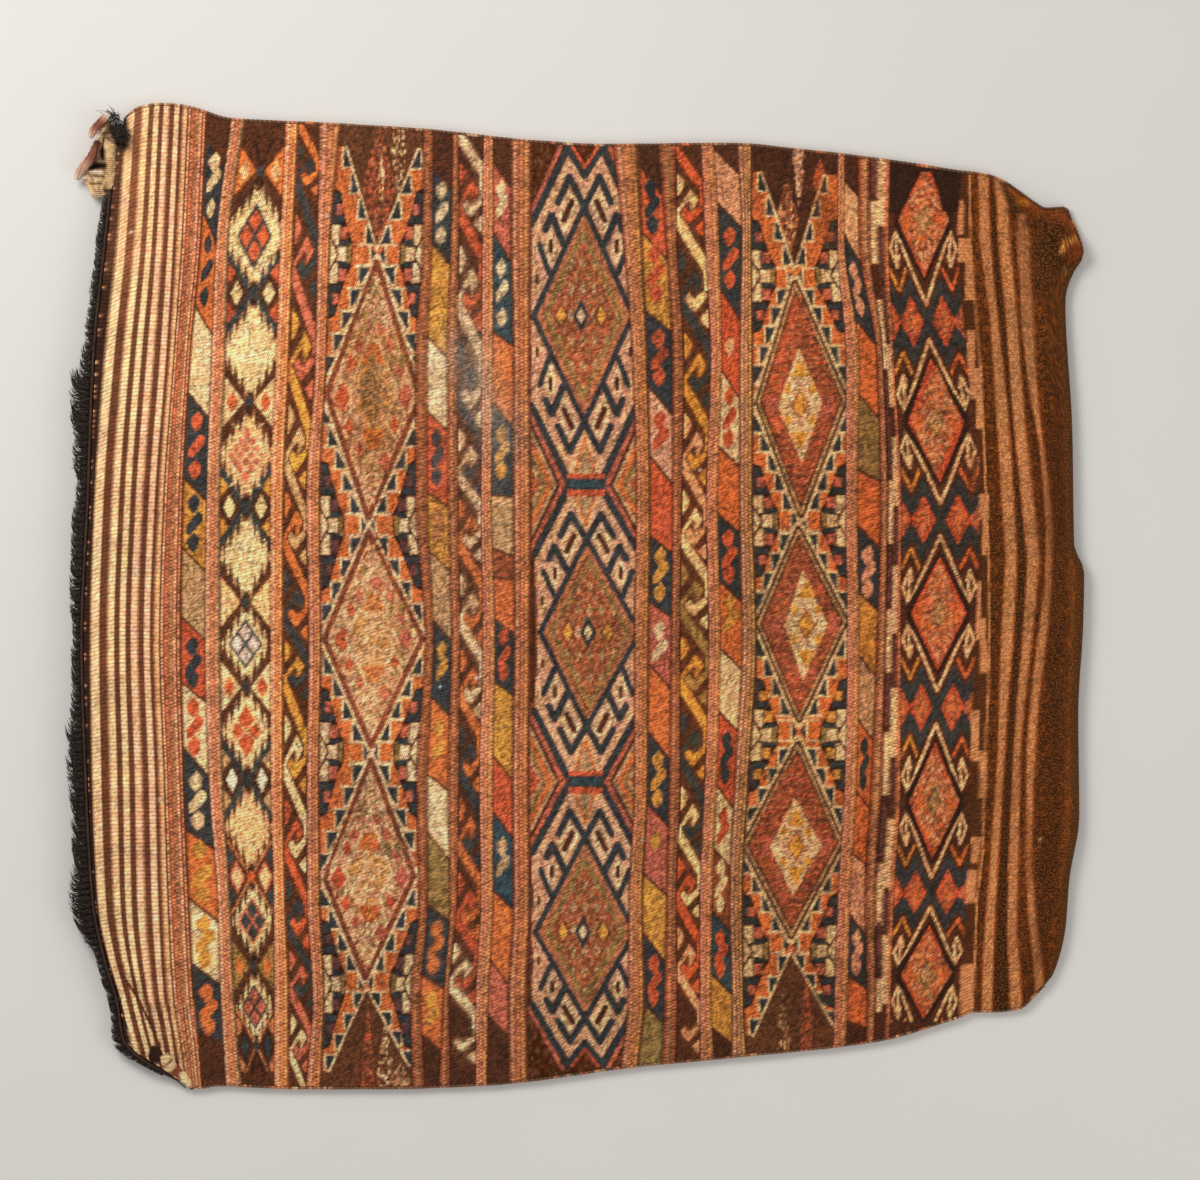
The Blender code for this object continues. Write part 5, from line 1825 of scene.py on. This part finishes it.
def web_inside(front, last, flat, v, radius, material):
    """The sack's inside: under the front, round the fold and over the back."""
    half = last[:, 2] / 2
    under = front[::6].copy()
    under[:, :, 2] -= CLOTH
    reach = (radius - CLOTH) * 0.25
    arc = fold_arc(last, reach, lambda cosine: half + (half - CLOTH) * cosine, ARC[1:-1])
    over = flat[1:].copy()
    over[:, :, 2] = CLOTH
    inner = np.concatenate([front[:1], under, arc, over])
    mesh = grid_mesh("web_inside", inner, woven_grid(np.linspace(84, 2100, len(inner)) % 1090, v))
    made = piece("web_inside", mesh, material, "woven_web")


def web_back(front, radius, shift):
    """The outside of the sack from the bottom fold under to the back lip, and its inside."""
    v = np.linspace(0, 1, ROWS + 1)[::EVERY]
    front = front[:, ::EVERY]
    radius = radius[::EVERY]
    s = np.linspace(FOLD_LINE, LIP_LINE, 150)
    flat, _ = surface(s[::-1], 0.0025 + v * 0.995)
    flat = (flat - shift)[::-1]
    flat[:, :, 2] = 0.0
    material = wool_finish("plain_wool", back_stripes)
    back = web_outside(front[-1], flat, s, v, radius, material)
    web_inside(front, front[-1], flat, v, radius, material)
    return flat, back


# Sides of the seam's yarn, and metres between its rings and between those of the binding
SEAM_SIDES = 12
SEAM_PITCH = 0.0014
BINDING_PITCH = 0.0012


def round_the_fold(edge, radius):
    """The edge with the blunt end of the bottom fold after it."""
    turns = np.linspace(0.2, math.pi / 2, 4)[:, None]
    return np.concatenate([edge, edge[-1:] + 0.25 * radius * np.sin(turns) * np.array([[1.0, 0.0, 0.0]])])


def seam(name, node, edge, colours, side, material):
    """Overcast yarn along one side: slanted wraps round the two edges."""
    colours = np.pad(colours, ((0, len(edge) - len(colours)), (0, 0)), mode="edge")
    both = along_path(np.concatenate([edge, colours], axis=1), SEAM_PITCH)
    path, dyes = both[:, :3], both[:, 3:]
    outward = side * leftward(path)
    path = path + outward * (SEAM / 2 - 2 * GAP)
    path[:, 2] = CLOTH + GAP / 2
    far = np.arange(len(path)) * SEAM_PITCH
    swell = 1 - 0.16 * np.abs(np.sin(math.pi * far / 0.0047)) ** 3
    swell = swell * (1 + 0.08 * np.sin(far / 0.031) * np.sin(far / 0.0083))
    swell = swell * np.clip(np.minimum(far, far[-1] - far) / 0.010, 0.16, 1) ** 0.6
    vertices, faces = tubes(path[None], SEAM / 2 * swell[None], SEAM_SIDES, 1.9)
    rings = vertices.reshape(-1, SEAM_SIDES, 3) - path[:, None, :]
    # Painted highlight: the yarn is made paler on its outward side.
    lit = np.clip((rings * outward[:, None, :]).sum(axis=2) / (SEAM / 2), 0, 1) ** 3
    dyes = np.repeat(dyes[:, None, :], SEAM_SIDES, axis=1)
    dyes[:, :, :3] += (np.array([0.72, 0.50, 0.34]) - dyes[:, :, :3]) * 0.5 * lit[:, :, None]
    mesh = dyed_tube(name, vertices, faces, dyes, 1.4, 12.0)
    return piece(name, mesh, material, node)


def binding(name, node, edge, height, material):
    """Hair wrapped along one lip."""
    path = along_path(edge, BINDING_PITCH)
    path = path + leftward(path) * (BINDING / 2 + 1.5 * GAP)
    path[:, 2] = height(path)
    far = np.arange(len(path)) * BINDING_PITCH
    swell = 1 - 0.16 * np.abs(np.sin(math.pi * far / 0.0041)) ** 2
    swell = swell * np.clip(far / 0.025, 0.3, 1)
    vertices, faces = tubes(path[None], BINDING / 2 * swell[None], 8, 1.0, 0.3)
    return piece(name, tube_mesh(name, vertices, faces), material, node)


# Where the loose hair over the upper corner grows, in the picture, and how many strands it has
TUFT = ((128, 142), (117, 117))
TUFT_STRANDS = 170
# Places of a strand's points along it, how thick it is there, and the strands of a lock
ALONG = np.linspace(0, 1, 6)
TAPER = np.array([1.0, 1.0, 0.9, 0.75, 0.55, 0.22])
TUFT_TAPER = np.array([0.6, 1.0, 0.9, 0.8, 0.55, 0.22])
LOCK_STRANDS = 9


def tuft(shift, draw):
    """Loose black hair over the upper corner of the front lip, above the flap."""
    paths = []
    sizes = []
    start, end = (np.array(p, float) for p in TUFT)
    for _ in range(TUFT_STRANDS):
        share = draw.uniform(0, 1)
        place = start + (end - start) * share + draw.normal(0, 3.0, 2)
        away = np.array([-1.0, 0.35, 0.0]) + draw.normal(0, 0.5, 3)
        long = draw.uniform(0.004, 0.011)
        strand = to_world(place[0], place[1], 0.0) - shift + away * long * ALONG[:, None]
        strand[:, 2] = 0.0175 + draw.uniform(0, 0.003) + 0.002 * np.sin(3 * ALONG) - 0.0012 * ALONG
        paths.append(strand)
        sizes.append(0.00045 * TUFT_TAPER * draw.uniform(0.7, 1.4))
    return paths, sizes


def droop(start, at, front, draw):
    """Heights along a strand that starts near the height start: it sinks at the front, not at the back."""
    low = 0.0012 + draw.uniform(0, 0.0015)
    if not front:
        return CLOTH / 2 + GAP + draw.uniform(-0.0008, 0.001) - 0.0008 * ALONG
    top = start - CLOTH / 2 + draw.uniform(-0.0012, 0.0016)
    return top - (top - low) * 0.42 * ALONG**2 + 0.0015 * np.sin(ALONG * 3 + at)


def lock_of_hair(path, out, lock, short, reach, front, draw):
    """Strands that grow around one place of the lip and lean and curl together."""
    paths = []
    sizes = []
    lean = draw.normal(0, 0.12)
    curl = draw.normal(-0.5, 0.25)
    t = ALONG[:, None]
    for _ in range(LOCK_STRANDS):
        at = int(np.clip(lock + draw.normal(0, 3.0), 2, len(path) - 3))
        root = path[at] + out[at] * (BINDING + 1.5 * GAP)
        side = np.array([-out[at][1], out[at][0], 0.0])
        long = reach * draw.uniform(0.80, 1.0)
        gather = (path[lock] - path[at]) * (0.0 if short else 0.25)
        bend = lean * t + (curl + draw.normal(0, 0.15)) * t**3
        strand = root + out[at] * long * (t - 0.15 * t**4) + side * long * bend
        strand = strand + gather * t**1.5
        strand[:, 2] = np.maximum(droop(path[at, 2], at, front, draw), 0.0006)
        paths.append(strand)
        sizes.append((0.00075 if short else 0.00060) * TAPER * draw.uniform(0.7, 1.5))
    return paths, sizes


def fringe(name, node, edge, front, shift, material, seed, locks):
    """Goat hair in locks, each strand a thin tapering tube that leaves the binding and droops. The front's
    has a tuft over the corner as well."""
    draw = np.random.default_rng(seed)
    path = along_path(edge, 0.001)
    out = leftward(path)
    paths = []
    sizes = []
    table = np.array(REACH, float)
    for number, lock in enumerate(np.linspace(8, len(path) - 9, locks).astype(int)):
        y = MIDDLE[1] - path[lock, 1] / DOWN
        reach = float(smooth(np.array([y]), table[:, 0], table[:, 1])[0]) * ACROSS * (1.0 if front else 0.8)
        reach = reach * (0.86 + 0.22 * abs(math.sin(y / 15 + 2 * math.sin(y / 60))))
        short = number % 5 < 2
        reach = reach * (draw.uniform(0.45, 0.75) if short else draw.uniform(0.88, 1.05))
        lock_paths, lock_sizes = lock_of_hair(path, out, lock, short, reach, front, draw)
        paths += lock_paths
        sizes += lock_sizes
    if front:
        tuft_paths, tuft_sizes = tuft(shift, draw)
        paths += tuft_paths
        sizes += tuft_sizes
    vertices, faces = tubes(np.array(paths), np.array(sizes), 3)
    return piece(name, tube_mesh(name, vertices, faces), material, node)


# Name, place, size, power and colour of each lamp
LAMPS = (
    ("key", (-1.3, 1.5, 2.0), 1.2, 42, (1.0, 0.96, 0.90)),
    ("fill", (1.8, -1.0, 1.8), 1.6, 12, (1.0, 0.97, 0.93)),
)


def stage():
    """A pale floor, soft light from all round and two lamps."""
    bpy.ops.mesh.primitive_plane_add(size=12, location=(0, 0, -0.0004))
    floor = bpy.context.active_object
    floor.name = "floor"
    finish = Finish("pale_floor", 0.8)
    place = finish.node("ShaderNodeTexCoord", {}).outputs["Object"]
    colour = finish.blend(finish.noise(place, 3.0), (0.78, 0.77, 0.75, 1), (0.82, 0.81, 0.79, 1))
    floor.data.materials.append(finish.done(colour))
    world = bpy.data.worlds.new("studio")
    world.use_nodes = True
    background = world.node_tree.nodes["Background"]
    background.inputs[0].default_value = (1.0, 0.985, 0.96, 1)
    background.inputs[1].default_value = 0.42
    bpy.context.scene.world = world
    for name, place, size, power, colour in LAMPS:
        light = bpy.data.lights.new(name, "AREA")
        light.size = size
        light.energy = power
        light.color = colour
        lamp = bpy.data.objects.new(name, light)
        lamp.location = place
        lamp.rotation_euler = (-Vector(place)).to_track_quat("-Z", "Y").to_euler()
        bpy.context.scene.collection.objects.link(lamp)


def camera(shift):
    """Straight above the middle of the picture's frame, with a long lens."""
    data = bpy.data.cameras.new("camera")
    data.sensor_width = 36
    data.lens = 36 * FAR / (2 * FRAME_MIDDLE[0] * ACROSS)
    made = bpy.data.objects.new("camera", data)
    x = (FRAME_MIDDLE[0] - MIDDLE[0]) * ACROSS - shift[0]
    y = (MIDDLE[1] - FRAME_MIDDLE[1]) * DOWN - shift[1]
    made.location = (x, y, NOMINAL + FAR)
    made.rotation_euler = (0, 0, 0)
    bpy.context.scene.collection.objects.link(made)
    bpy.context.scene.camera = made


def shift_to_solids():
    """What to take off the picture's world points, so that the sack lies where its solids lie."""
    rough, radius = surface(column_edges()[::6], np.linspace(0, 1, 65))
    low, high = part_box("woven_web")
    east = rough[:, :, 0].min() + (rough[-1, :, 0] + radius).max() - low[0] - high[0]
    north = rough[:, :, 1].min() + rough[:, :, 1].max() - low[1] - high[1]
    return np.array([east / 2, north / 2, 0.0])


# Rows in from the seams where their yarn takes its colours
SEAM_ROW = 13
# The share of the rows where the hair of both lips and the front's binding end
HAIR_END = 0.925
BLACK = (0.010, 0.006, 0.005)


def lip_height(path):
    """Height of the front lip's binding, in the middle of the cloth."""
    return path[:, 2] - CLOTH / 2


def back_height(path):
    """Height of the back lip's binding, just over the floor."""
    return CLOTH / 2 + GAP / 2 + 0 * path[:, 2]


def main():
    shift = shift_to_solids()
    front, radius, colours = web_front(shift)
    flat, back = web_back(front, radius, shift)
    yarn = seam_finish()
    hair = yarn_finish("goat_hair", BLACK, (0.045, 0.024, 0.017), 300.0, 0.30, 0.35, 0.2)
    wrap = yarn_finish("wrapped_hair", BLACK, (0.10, 0.05, 0.03), 160.0, 0.6, 0.2, 0.6)
    far_edge = round_the_fold(front[2:, -1], radius[-1])
    near_edge = round_the_fold(front[2:, 0], radius[0])
    lip = front[0][:int(front.shape[1] * HAIR_END)]
    back_lip = flat[-1]
    back_hair = back_lip[2:int(len(back_lip) * HAIR_END)]
    ends = [
        seam("seam_yarn_far", "side_seam_far", far_edge, colours[2:, -1 - SEAM_ROW], 1, yarn),
        seam("seam_yarn_near", "side_seam_near", near_edge, colours[2:, SEAM_ROW], -1, yarn),
        binding("lip_binding_front", "mouth_binding_front", lip[1:], lip_height, wrap),
        binding("lip_binding_back", "mouth_binding_back", back_lip[1:-1], back_height, wrap),
        fringe("goat_hair_front", "mouth_fringe_front", lip[10:], True, shift, hair, 4, 377),
        fringe("goat_hair_back", "mouth_fringe_back", back_hair, False, shift, hair, 5, 144),
    ]
    corner_flap(shift)
    stage()
    camera(shift)


main()
bpy.context.scene.view_settings.view_transform = "Standard"
